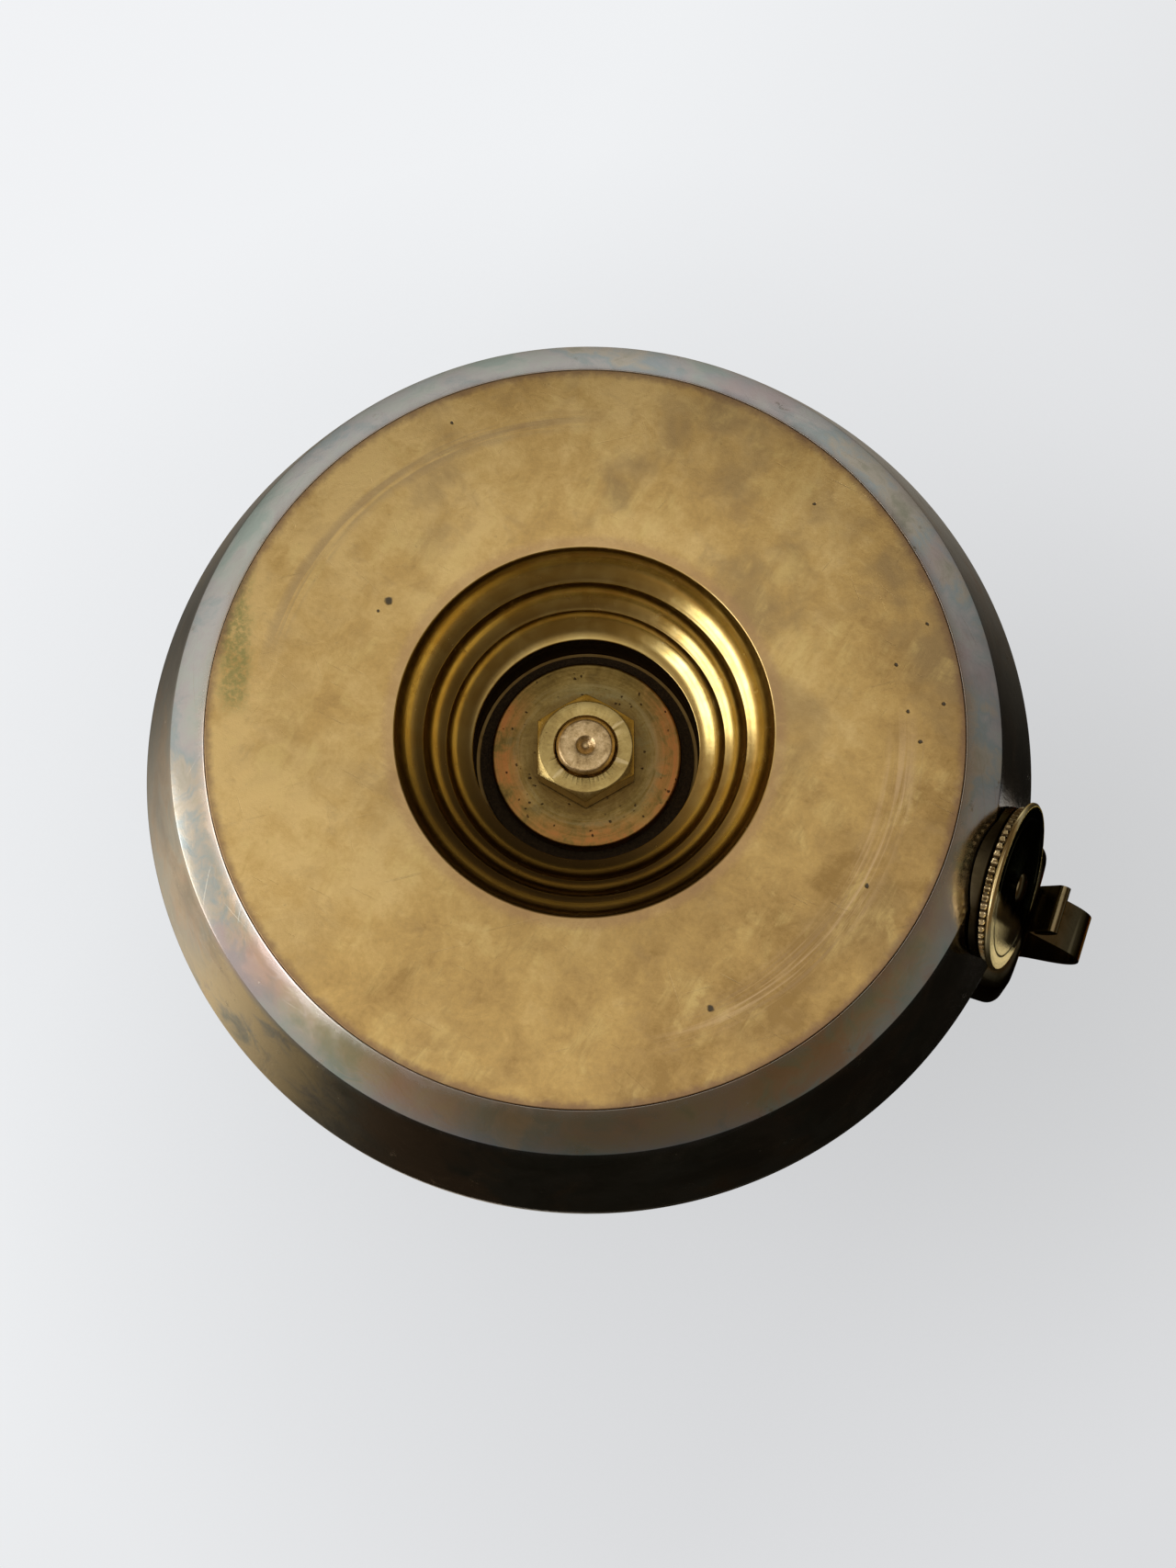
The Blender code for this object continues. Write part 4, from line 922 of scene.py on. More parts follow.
# Finishes: (frame slot, material).
BASE = ("raw_brass", look_base())
SHELL = ("dark_brass", look_shell())
BRIGHT = ("bright_brass", look_bright())
NUT = ("bright_brass", look_nut())
WASHER = ("stained_brass", look_washer())
ROD = ("rod_steel", look_rod())
CAP = ("dark_brass", look_handled("filler_brass_look", tint=0.62, dull=-0.02,
                                  graze=(0.85, 0.80, 0.68)))
# painted shade: the neck is the handled brass darkened nearly to black, partly dark oxide and partly the
# shade in the recess behind the disc
NECK = ("dark_brass", look_handled("neck_brass_shaded_look", tint=0.085, dull=0.18,
                                   graze=(0.13, 0.10, 0.065)))
STRAP = ("dark_brass", look_handled("strap_brass_look", tint=0.25, dull=0.0,
                                    graze=(0.26, 0.21, 0.14)))
STUD = ("bright_brass", STRAP[1])
DISC = ("dark_brass", look_disc())
FIBRE = ("gasket_fibre", look_fibre())
WICK = ("cotton", look_cotton("wick_cotton_look", singed=True))
CORD = ("cotton", look_cotton("cord_cotton_look", singed=False))
WOOD = ("knob_hardwood", look_wood())

# ================================================================ tank
# Outer curves of the tank, as (radius, z).
bevel_curve = bezier((BASE_R + 0.03, 0.04), (51.8, 1.55), (53.9, 3.55), KNEE, 20)
wall_curve = bezier(KNEE, (56.6, 8.6), (59.6, 17.4), (BODY_R, BODY_Z), 36)
upper_curve = bezier((BODY_R, BODY_Z), (BODY_R, 44.0), (50.0, SHOULDER_Z), (SHOULDER_R, SHOULDER_Z), 90)


def curve_radius(curve, height):
    for (r0, z0), (r1, z1) in zip(curve, curve[1:]):
        if z0 <= height <= z1:
            return r0 + (r1 - r0) * (height - z0) / (z1 - z0)


def base_sheet():
    """Base sheet with its stepped well; each step is halfway between a cone and a round."""
    edge, steps = BASE_R - 0.04, 18
    under = [(edge, 0.0, 0.16), (*WELL[0], 0.45)]
    for (r0, z0), (r1, z1) in zip(WELL, WELL[1:]):
        for i in range(1, steps + 1):
            f = i / steps
            a = math.radians(90 * f)
            rounded = (r1 + (r0 - r1) * math.cos(a), z0 + (z1 - z0) * math.sin(a))
            cone = (r0 + (r1 - r0) * f, z0 + (z1 - z0) * f)
            under.append(((rounded[0] + cone[0]) / 2, (rounded[1] + cone[1]) / 2,
                          0.22 if i == steps else 0.0))
    under += [(WELL[-1][0], 17.8, 0.2), (ROD_HOLE_R, 17.8, 0.1)]
    over = [(ROD_HOLE_R, 19.0), (16.5, 19.0, 0.6), (16.5, 12.2, 0.5), (19.9, 9.2, 0.5),
            (22.8, 5.7, 0.5), (26.2, 1.2, 0.8), (edge, 1.2, 0.2)]
    piece("base_sheet", lathe(fillet(under + over, 0.2, 5), 256), BASE, "base_pan", angle=40)


def lower_shell():
    """Soft lip, bevel, crisp knee and flaring wall, with a round port for the filler."""
    top = SEAM_Z - SEAM_HALF
    outer = bevel_curve[:-1] + [(*KNEE, 0.55)] + wall_curve[1:]
    outer.append((curve_radius(upper_curve, top), top, 0.12))
    inner = [point for point in offset(outer[14:], SHELL_WALL) if point[1] > 3.2]
    inner[-1] = (outer[-1][0] - SHELL_WALL, top)
    profile = [(*outer[0], 0.18)] + outer[1:] + list(reversed(inner))
    profile += [(50.8, 2.5), (46.0, 2.5, 0.2), (46.0, 1.5, 0.2), (50.03, 1.5, 0.05)]
    shell = mesh_object("lower_tank_shell", lathe(fillet(profile, 0.0, 4), 256))
    carve(shell, [cylinder(9.3, -14, 6, 96, FILLER)], angle=26)
    dress(shell, SHELL, "lower_shell")


def upper_shell():
    """Rounded shoulder with a flat flange for the neck."""
    foot = SEAM_Z + SEAM_HALF
    outer = [(curve_radius(upper_curve, foot), foot, 0.12)]
    outer += [point for point in upper_curve if SEAM_Z + 0.4 < point[1] < SHOULDER_Z - 0.004]
    outer.append((SHOULDER_R, SHOULDER_Z))
    inner = offset(outer, SHELL_WALL)
    inner[0] = (outer[0][0] - SHELL_WALL, foot)
    inner[-1] = (SHOULDER_R, SHOULDER_Z - SHELL_WALL)
    flange = [(17.6, SHOULDER_Z, 0.2), (17.6, SHOULDER_Z - SHELL_WALL, 0.2)]
    profile = fillet(outer + flange + list(reversed(inner)), 0.0, 3)
    piece("upper_tank_shell", lathe(profile, 256), SHELL, "upper_shell", angle=26)


base_sheet()
lower_shell()
upper_shell()

# ================================================================ tie rod and clamp
seal = [(14.6, 17.5), (14.6, 17.0), (4.5, 17.0), (4.5, 17.5)]
piece("clamp_seal", lathe(fillet(seal, 0.12, 3), 128), FIBRE, "clamp_gasket")
washer = [(12.9, 16.7, 0.3), (12.9, 14.0, 0.45), (ROD_HOLE_R, 14.0, 0.15), (ROD_HOLE_R, 16.7, 0.1)]
piece("clamp_disc", lathe(fillet(washer, 0.3, 5), 160), WASHER, "clamp_washer")

THREAD_PITCH, THREAD_DEPTH = 1.25, 0.52
LOW_THREAD, HIGH_THREAD = (8.9, 22.0), (82.0, 94.9)  # z where each thread starts and ends


def threaded(r, z, t):
    """Rolled thread on the two ends of the rod, plain shank between."""
    if r < 3.7:
        return r
    fade = 0.0
    if z < LOW_THREAD[1]:
        fade = clamp((z - LOW_THREAD[0]) / 0.25) * clamp((LOW_THREAD[1] - z) / 1.5)
    elif z > HIGH_THREAD[0]:
        fade = clamp((z - HIGH_THREAD[0]) / 1.5) * clamp((HIGH_THREAD[1] - z) / 0.25)
    phase = (z / THREAD_PITCH - t / TAU) % 1.0
    return r - THREAD_DEPTH * fade * (1.0 - abs(2.0 * phase - 1.0)) ** 0.85


def thread_stations(z, stop):
    out = []
    while z < stop:
        out.append((ROD_R, z))
        z += 0.16
    return out


rod = [(0.0, 9.25), (0.35, 9.22), (0.75, 8.95), (1.2, 8.45), (1.4, 8.37), (2.0, 8.35),
       (3.2, 8.35), (3.45, 8.38), (3.62, 8.47), (3.85, 8.72), (3.96, 8.85)]
rod += thread_stations(8.95, 22.4)
rod += [(ROD_R, 40.0), (ROD_R, 60.0), (ROD_R, 81.0)]
rod += thread_stations(82.0, 94.95)
rod += [(3.95, 95.05), (3.5, 95.6), (3.2, 95.78), (2.6, 95.8), (0.0, 95.8)]
piece("threaded_rod", lathe(rod, 72, closed=False, shape=threaded), ROD, "tie_rod", angle=40)

NUT_FLATS, NUT_HEIGHT = 13.0, 4.4


def nut(name, low, stands_for, chamfer_below):
    high = low + NUT_HEIGHT
    corner = NUT_FLATS / math.sqrt(3)
    outline = []
    for i in range(6):
        t = math.radians(90 + 60 * i)
        outline.append((corner * math.cos(t), corner * math.sin(t)))
    outline = fillet(outline, 0.35, 4)
    n = len(outline)
    verts = [(x, y, low) for x, y in outline] + [(x, y, high) for x, y in outline]
    faces = [tuple(range(n - 1, -1, -1)), tuple(range(n, 2 * n))]
    faces += [(i, (i + 1) % n, n + (i + 1) % n, n + i) for i in range(n)]
    ob = mesh_object(name, (verts, faces))
    # 30 degree chamfer cone on the outward face
    face_r, far = NUT_FLATS / 2 * 0.955, 9.0
    rise = (far - face_r) * math.tan(math.radians(30))
    if chamfer_below:
        cone = [(0.0, low), (face_r, low), (far, low + rise), (far, high + 1.0), (0.0, high + 1.0)]
    else:
        cone = [(0.0, low - 1.0), (far, low - 1.0), (far, high - rise), (face_r, high), (0.0, high)]
    carve(ob, [cutter(lathe(cone, 144, closed=False))], "INTERSECT")
    bore = [(0.0, low - 1), (4.32, low - 1), (4.32, low), (4.1, low + 0.25),
            (4.1, high - 0.25), (4.32, high), (4.32, high + 1), (0.0, high + 1)]
    carve(ob, [cutter(lathe(bore, 96, closed=False))])
    soften(ob, 0.09, 2, 24)
    dress(ob, NUT, stands_for)


nut("hex_nut_lower", 9.3, "clamp_nut", chamfer_below=True)
nut("hex_nut_upper", 90.5, "head_nut", chamfer_below=False)

# ================================================================ burner head
seal = [(27.0, 59.3), (27.0, 58.3), (18.0, 58.3), (18.0, 59.3)]
piece("neck_seal", lathe(fillet(seal, 0.25, 4), 160), FIBRE, "neck_gasket")
collar = [(28.0, 62.6, 0.5), (28.0, 61.5, 0.15), (27.55, 61.3, 0.15), (27.55, 61.0, 0.15),
          (28.0, 60.8, 0.15), (28.0, 59.6, 0.3), (16.4, 59.6, 0.2), (16.4, 66.0, 0.3),
          (19.4, 66.0, 0.3), (19.4, 62.6, 0.5), (23.6, 62.6, 0.1), (23.8, 62.45, 0.1),
          (24.0, 62.6, 0.1)]
piece("turned_collar", lathe(fillet(collar, 0.3, 4), 192), BRIGHT, "burner_collar")


def slotted(name, profile, steps, radius, stands_for, body):
    """A sleeve cut through by eight upright air slots."""
    ob = mesh_object(name, lathe(fillet(profile, 0.2, steps), 128))
    section = fillet([(-3.3, 66.5), (3.3, 66.5), (3.3, 75.5), (-3.3, 75.5)], 1.3, 6)
    carve(ob, [cutter(extrude(section, radius * 2 + 8), TANK @ turn(90 + 45 * i)) for i in range(4)])
    dress(ob, BRIGHT, stands_for, body=body)


gallery = [(GALLERY_R, 80.0, 0.5), (GALLERY_R, 62.9, 0.15), (20.0, 62.9, 0.15), (20.0, 79.0, 0.3),
           (18.0, 79.0, 0.15), (18.0, 80.0, 0.3)]
slotted("slotted_gallery", gallery, 4, GALLERY_R, "draft_gallery", "tank")
shutter = [(SHUTTER_R, 78.0, 0.25), (SHUTTER_R, 77.3, 0.1), (22.2, 77.1, 0.1), (22.2, 76.9, 0.1),
           (SHUTTER_R, 76.7, 0.1), (SHUTTER_R, 64.3, 0.1), (22.2, 64.1, 0.1), (22.2, 63.9, 0.1),
           (SHUTTER_R, 63.7, 0.1), (SHUTTER_R, 63.0, 0.25), (21.4, 63.0, 0.15), (21.4, 78.0, 0.15)]
slotted("slotted_shutter", shutter, 3, SHUTTER_R, "air_shutter", "shutter")

# Shutter lever: a bent arm with a knob near its outer end.
LEVER = TANK @ turn(67.5)
lever_path = bent([(23.2, 74.5), (23.2, 67.6, 0.5), (23.9, 66.5, 0.8), (25.0, 66.0, 1.2),
                   (38.5, 66.0)], 0.8)
lever = mesh_object("shutter_arm", extrude(strip(lever_path, 1.0), 5.0), LEVER)
soften(lever, 0.22)
dress(lever, BRIGHT, "shutter_lever", body="shutter")
knob = bezier((0.0, 73.4), (2.2, 73.4), (3.3, 72.2), (3.15, 70.4), 14)
knob += bezier((3.15, 70.4), (3.0, 68.9), (1.7, 68.6), (1.65, 67.8), 12)[1:]
knob += [(1.65, 67.65), (2.05, 67.5), (2.2, 67.3), (2.2, 66.95), (2.1, 66.8), (0.0, 66.8)]
piece("turned_knob", lathe(knob, 64, closed=False), WOOD, "lever_knob", body="shutter",
      matrix=LEVER @ shift(35.6))

# Wick tubes: name, outer radius, inner radius, top, frame piece.
for name, outer, inner, top, stands_for in (
        ("wick_sleeve_outer", 16.0, 15.0, 86.0, "outer_wick_tube"),
        ("wick_sleeve_inner", 12.0, 11.0, 84.5, "inner_wick_tube")):
    tube = [(outer, top), (outer, WICK_LOW), (inner, WICK_LOW), (inner, top)]
    piece(name, lathe(fillet(tube, 0.3, 4), 144), BRIGHT, stands_for)

# Disc under the wick, with a hole for each feeder cord.
spider = [(16.0, 44.2), (16.0, 42.7), (ROD_HOLE_R, 42.7), (ROD_HOLE_R, 44.2)]
spider = mesh_object("perforated_disc", lathe(fillet(spider, 0.25, 3), 128))
carve(spider, [cylinder(1.45, 41, 46, 40, TANK @ turn(deg) @ shift(FEED_R)) for deg in FEED_DEGS])
dress(spider, BRIGHT, "wick_spider")


def weave(t, z):
    """Plain weave relief: yarns cross over and under each other."""
    yarn = t * 14.0 * 1.6 / 0.9
    crossing = math.sin(yarn * 2.0) * math.sin(z * 3.6)
    return 0.10 * crossing + 0.07 * abs(math.sin(yarn)) * 0.5


def woven_wick():
    """Woven cotton ring whose top is cut rough."""
    seg, rows = 264, 150

    def wall_ring(radius, side, f):
        z = WICK_LOW + (WICK_HIGH - WICK_LOW) * f
        ring = []
        for j in range(seg):
            t = TAU * j / seg
            lump = 0.10 * math.sin(7 * t + z * 0.3) + 0.06 * math.sin(17 * t - z)
            r = radius + side * weave(t, z) + 0.3 * lump * (z > 84)
            ragged = 0.16 * math.sin(23 * t) + 0.12 * math.sin(41 * t + 1.0) if z > 86.0 else 0.0
            ring.append((r * math.cos(t), r * math.sin(t), z + ragged))
        return ring

    def top_ring(radius, lift):
        ring = []
        for j in range(seg):
            t = TAU * j / seg
            tufts = 0.18 * math.sin(31 * t + radius * 5) + 0.10 * math.sin(67 * t)
            ring.append((radius * math.cos(t), radius * math.sin(t), WICK_HIGH + lift + tufts))
        return ring

    rings = [wall_ring(14.52, 1, i / rows) for i in range(rows + 1)]
    rings += [top_ring(radius, lift) for radius, lift in ((14.1, 0.12), (13.5, 0.18), (12.9, 0.10))]
    rings += [wall_ring(12.46, -1, 1 - i / rows) for i in range(rows + 1)]
    faces = []
    for i in range(len(rings)):
        a, b = i * seg, (i + 1) % len(rings) * seg
        for j in range(seg):
            k = (j + 1) % seg
            faces.append((a + j, b + j, b + k, a + k))
    verts = [point for ring in rings for point in ring]
    piece("woven_wick", (verts, faces), WICK, "wick", angle=80)


def wick_fray():
    """Loose fibres standing on the top of the wick."""
    draw = random.Random(7).uniform
    fibres = []
    for _ in range(620):
        t = draw(0, TAU)
        root = draw(12.5, 14.5)
        lean_r, lean_t = draw(-0.25, 0.25), draw(-0.05, 0.05)
        tall = draw(0.35, 1.15)
        points = []
        for s in range(4):
            f = s / 3
            r = root + lean_r * f * f
            angle = t + lean_t * f * f
            points.append((r * math.cos(angle), r * math.sin(angle), 86.8 + tall * f))
        fibres.append(strand(points, draw(0.035, 0.06), sides=4, taper=True))
    piece("wick_fray", merge(fibres), WICK, angle=80)


def twisted_cord():
    """One feeder cord in (x, z): three strands twisted about a hanging curve."""
    samples, lay, ply_offset, ply_radius = 150, 4.2, 0.52, 0.56
    path = [(FEED_R, 44.2), (FEED_R, 42.7)]
    path += bezier((FEED_R, 41.2), (FEED_R, 30.0), (31.0, 30.0), (32.0, 3.4), 60)
    length = [0.0]
    for a, b in zip(path, path[1:]):
        length.append(length[-1] + math.dist(a, b))
    centre, travelled = [], []
    for i in range(samples + 1):
        want = length[-1] * i / samples
        j = next(j for j in range(len(path) - 1) if length[j + 1] >= want - 1e-9)
        f = (want - length[j]) / (length[j + 1] - length[j])
        centre.append(tuple(path[j][k] + (path[j + 1][k] - path[j][k]) * f for k in range(2)))
        travelled.append(want)
    plies = []
    for ply in range(3):
        points = []
        for j, (x, z) in enumerate(centre):
            along = tangent_at(centre, j)
            t = TAU * (travelled[j] / lay + ply / 3)
            out = ply_offset * math.cos(t)
            points.append((x - along.y * out, ply_offset * math.sin(t), z + along.x * out))
        plies.append(strand(points, ply_radius, sides=10, taper=False))
    return merge(plies)


woven_wick()
wick_fray()
cord = twisted_cord()
for i, deg in enumerate(FEED_DEGS, 1):
    piece("twisted_cord_%d" % i, cord, CORD, "feeder_cord_%d" % i, matrix=TANK @ turn(deg), angle=80)

spreader = [(15.4, 90.2, 0.25), (15.4, 89.5, 0.25), (8.0, 88.3, 1.2), (7.2, 86.4, 0.8),
            (11.6, 85.9, 0.25), (11.6, 84.8, 0.3), (ROD_HOLE_R, 84.8, 0.2), (ROD_HOLE_R, 90.2, 0.2),
            (9.0, 90.2, 0.1), (9.2, 90.05, 0.1), (9.4, 90.2, 0.1)]
piece("spreader_disc", lathe(fillet(spreader, 0.25, 4), 144), BRIGHT, "flame_spreader")

# ================================================================ snuffer and hinge
SNUFFER_R, SNUFFER_TOP, SNUFFER_ROUND = 23.5, 98.2, 1.2
round_r, round_z = SNUFFER_R - SNUFFER_ROUND, SNUFFER_TOP - SNUFFER_ROUND
snuffer = [(0.0, SNUFFER_TOP), (round_r, SNUFFER_TOP)]
snuffer += [(round_r + SNUFFER_ROUND * math.sin(math.radians(a)),
             round_z + SNUFFER_ROUND * math.cos(math.radians(a))) for a in range(10, 91, 10)]
snuffer += [(SNUFFER_R, 81.0, 0.1), (23.3, 80.8, 0.1), (23.3, 80.5, 0.1), (SNUFFER_R, 80.3, 0.1),
            (SNUFFER_R, 78.4, 0.35), (22.5, 78.4, 0.2), (22.5, 97.0, 0.6), (0.0, 97.0)]
piece("snuffer_shell", lathe(fillet(snuffer, 0.0, 4, closed=False), 192, closed=False), SHELL,
      "snuffer_cap", body="snuffer")

PIN_X, PIN_Z = -27.0, 79.0
HINGE = TANK @ shift(PIN_X, PIN_Z) @ turn(90, "X")


def pin_arc(radius, start, stop, count):
    """Points round the hinge pin in (x, z), angles in degrees."""
    out = []
    for i in range(count + 1):
        t = math.radians(start + (stop - start) * i / count)
        out.append((PIN_X + radius * math.cos(t), PIN_Z + radius * math.sin(t)))
    return out


def pin_bore():
    return cylinder(1.3, -9, 9, 48, HINGE)


def hinge():
    fork = [(-27.6, 62.9), (-24.1, 62.9)] + pin_arc(2.9, 0, 180, 28)
    fork += fillet([(-29.9, 79.0), (-29.1, 75.6, 1.5), (-27.6, 73.0, 1.5), (-25.4, 71.0, 1.0),
                    (-25.4, 64.3, 0.3), (-27.6, 64.3)], 0.5, 5, closed=False)[1:]
    bracket = mesh_object("hinge_fork", extrude(fork, 14.0))
    gap = cutter(extrude([(-32, 75.6), (-20, 75.6), (-20, 84), (-32, 84)], 9.2))
    carve(bracket, [gap, pin_bore()])
    soften(bracket, 0.22)
    dress(bracket, BRIGHT, "hinge_bracket")

    outline = [(-23.85, 78.6), (-23.85, 91.0), (-25.0, 91.0)] + pin_arc(2.8, 44, 340, 40)
    leaf = mesh_object("hinge_knuckle", extrude(outline, 8.4))
    carve(leaf, [pin_bore()])
    soften(leaf, 0.2)
    dress(leaf, BRIGHT, "hinge_leaf", body="snuffer")

    half_pin = [(0.0, 8.2), (1.15, 8.2, 0.3), (1.7, 7.85, 0.2), (1.7, 7.3, 0.1), (1.0, 7.3, 0.0)]
    pin = half_pin + [(r, -z, *own) for r, z, *own in reversed(half_pin)]
    piece("riveted_pin", lathe(fillet(pin, 0.1, 4, closed=False), 48, closed=False), ROD,
          "hinge_pin", matrix=HINGE)


def thumb_tab():
    """Bent tab on the +x side of the snuffer, its outer corners cut off."""
    path = bent([(24.35, 90.0), (24.35, 82.6, 0.8), (25.0, 81.5, 0.8), (26.2, 81.0, 1.0),
                 (31.5, 80.6)], 0.8)
    tab = mesh_object("thumb_tab", extrude(strip(path, 1.0), 8.0))
    corners = []
    for side in (-1, 1):
        outline = [(29.4, side * 4.2), (32.2, side * 1.8), (33.0, side * 5.0)]
        corners.append(cutter(prism([(x, y, 79.0) for x, y in outline],
                                    [(x, y, 82.5) for x, y in outline])))
    carve(tab, corners)
    soften(tab, 0.24)
    dress(tab, BRIGHT, "snuffer_tab", body="snuffer")


hinge()
thumb_tab()

# ================================================================ side filler
disc = [(11.2, 0.0, 0.12), (11.5, -0.3, 0.12), (11.5, -0.55, 0.12), (11.25, -0.8, 0.1),
        (1.3, -0.8, 0.05), (1.3, 0.0, 0.05), (9.3, 0.0, 0.05), (9.45, -0.08, 0.05), (9.6, 0.0, 0.05)]
piece("rim_disc", lathe(fillet(disc, 0.1, 4), 192), DISC, "cap_disc", body="filler",
      matrix=FILLER, angle=35)

FLUTES = 58
KNURL_TOP, KNURL_FOOT = -1.1, -2.0


def knurl(r, z, t):
    """Flutes round the rim, shallower at its two faces."""
    if r < 9.6:
        return r
    dip = 0.5 + 0.5 * math.cos(t * FLUTES)
    fade = clamp((abs(z - KNURL_TOP) - 0.02) / 0.2) * clamp((abs(z - KNURL_FOOT) - 0.02) / 0.2)
    return r - 0.34 * (dip ** 0.8) * (0.25 + 0.75 * fade)


cap_profile = [(0.0, KNURL_TOP), (10.1, KNURL_TOP), (10.4, -1.13), (10.55, -1.25)]
cap_profile += [(10.6, -1.35 - 0.05 * i) for i in range(9)]
cap_profile += [(10.55, -1.85), (10.4, -1.96), (10.1, KNURL_FOOT), (6.7, KNURL_FOOT), (6.7, -5.9),
                (6.6, -6.3), (6.1, -6.8), (0.0, -6.8)]
cap = mesh_object("knurled_cap", lathe(cap_profile, FLUTES * 8, closed=False, shape=knurl), FILLER)
carve(cap, [cylinder(1.3, -3.6, 2.0, 48, FILLER)], angle=32)
dress(cap, CAP, "filler_cap", body="filler")

stud = bezier((0.0, 1.1), (1.2, 1.1), (2.0, 0.75), (2.0, 0.36), 12)
stud += [(1.95, 0.3), (1.0, 0.3), (1.0, -3.2), (0.0, -3.2)]
piece("cap_stud", lathe(stud, 64, closed=False), STUD, "cap_rivet", body="filler", matrix=FILLER)


def body_form():
    """The tank as a solid, 0.3 mm proud, to trim parts that sit against its wall."""
    swollen = [(50.35, -1.0), (50.35, 0.04)]
    swollen += [(r + 0.3, z) for r, z in bevel_curve[1:] + wall_curve[1:]]
    swollen += [(r + 0.3, z) for r, z in upper_curve[1:] if z < 55.2]
    form = [(0.0, 56.5), (swollen[-1][0], 56.5)] + list(reversed(swollen)) + [(0.0, -1.0)]
    return cutter(lathe(form, 288, closed=False))


def filler_neck():
    """Collar against the tank wall, joined to a tube and bored through."""
    face_z = -2.3
    outside = fillet([(0.0, -7.5), (10.3, -7.5, 0.0), (10.3, face_z, 0.35), (0.0, face_z)], 0.0, 5,
                     closed=False)
    neck = mesh_object("port_neck", lathe(outside, 144, closed=False), FILLER)
    carve(neck, [body_form()])
    trim = extrude([(-12.0, -9.0), (-9.3, -9.0), (-9.3, 0.0), (-12.0, 0.0)], 24.0)
    carve(neck, [cutter(trim, FILLER)])
    carve(neck, [cylinder(9.0, -12.0, face_z - 0.02, 144, FILLER)], "UNION")
    bore = [(0, -14), (7.0, -14), (7.0, -3.2), (8.2, -3.2), (8.2, 3.5), (0, 3.5)]
    carve(neck, [cutter(lathe(bore, 148, closed=False), FILLER)])
    dress(neck, NECK, "filler_neck")


filler_neck()
seal = [(7.9, -2.35), (7.9, -2.9), (7.1, -2.9), (7.1, -2.35)]
piece("port_seal", lathe(fillet(seal, 0.1, 3), 96), FIBRE, "filler_gasket", matrix=FILLER)

# ================================================================ strap latch
FOOT_X = 64.75                     # middle of the strap's thickness at its rivet
BORE_R, STRAP_THICK = 1.6, 0.5


def strap_pad():
    """Rounded pad on the tank wall that carries the strap; its outer edge is rounded over."""
    half_y, half_z, mid_z, round_over = 10.8, 11.8, 35.8, 2.2
    low, high = mid_z - half_z, mid_z + half_z
    outline = fillet([(-half_y, low), (half_y, low), (half_y, high), (-half_y, high)], 6.5, 12)
    # (x, inset of the outline)
    layers = [(48.0, 0.0), (62.0, 0.0)]
    for degrees in range(10, 91, 10):
        a = math.radians(degrees)
        layers.append((62.0 + round_over * math.sin(a), round_over * (1 - math.cos(a))))
    verts = [(x, y * (half_y - inset) / half_y, mid_z + (z - mid_z) * (half_z - inset) / half_z)
             for x, inset in layers for y, z in outline]
    pad = mesh_object("strap_pad", (verts, loft_faces(len(layers), len(outline))), LATCH)
    carve(pad, [body_form()])
    carve(pad, [cylinder(BORE_R, 59.2, 69.2, 48, PIVOT)], angle=28)
    dress(pad, STRAP, "latch_boss")


def bent_strap():
    """Sprung strap: straight foot, outward bow, contact bend, then a tab rolled back."""
    contact, bow, tab_end = (63.95, 21.9), (72.3, 31.8), (66.3, 17.4)
    roll_r = 0.62
    path = [(FOOT_X, PIVOT_Z + 3.2), (FOOT_X, 42.0)]
    path += bezier((FOOT_X, 40.4), (65.2, 38.2), (bow[0], 37.2), bow, 26)
    leg = bezier(bow, (bow[0], 27.8), (68.2, 25.6), contact, 26)[1:-1]
    path += leg + bent([leg[-1], contact, tab_end], 0.6)[1:]
    tab_dir = (Vector(tab_end) - Vector(contact)).normalized()
    tab_out = Vector((-tab_dir.y, tab_dir.x))
    roll_centre = Vector(tab_end) + tab_out * roll_r
    for i in range(1, 13):
        t = math.pi * i / 12
        point = roll_centre - tab_out * (roll_r * math.cos(t)) + tab_dir * (roll_r * math.sin(t))
        path.append((point.x, point.y))
    back = roll_centre + tab_out * roll_r
    # returned leaf: distance back along the tab, distance outward
    for along, out in ((0.8, 0.10), (1.6, 0.15), (2.4, 0.12), (3.2, 0.05), (3.8, -0.12), (4.4, -0.35)):
        point = back - tab_dir * along + tab_out * out
        path.append((point.x, point.y))
    strap = mesh_object("bent_strap", extrude(strip(path, STRAP_THICK), 6.5), LATCH)
    # corners cut off the upper end: y, height above the pivot
    corner = [(1.2, 3.4), (4.0, 3.4), (4.0, 0.8), (3.3, 0.8), (2.7, 2.2), (1.9, 3.0)]
    tools = []
    for side in (-1, 1):
        ends = [[(x, side * y, PIVOT_Z + z) for y, z in corner] for x in (FOOT_X - 1.0, FOOT_X + 1.0)]
        tools.append(cutter(prism(*ends), LATCH))
    carve(strap, tools + [cylinder(BORE_R, 62.2, 67.2, 48, PIVOT)])
    soften(strap, 0.13, 2, 50)
    dress(strap, STRAP, "latch_strap", body="latch")


strap_pad()
bent_strap()
head = FOOT_X + STRAP_THICK / 2 + 0.3
rivet = bezier((0.0, head + 1.1), (1.1, head + 1.1), (1.95, head + 0.7), (2.0, head + 0.08), 12)
rivet += [(1.95, head), (1.25, head), (1.25, 59.6), (0.0, 59.6)]
piece("strap_rivet", lathe(rivet, 64, closed=False), NUT, "latch_rivet", matrix=PIVOT)


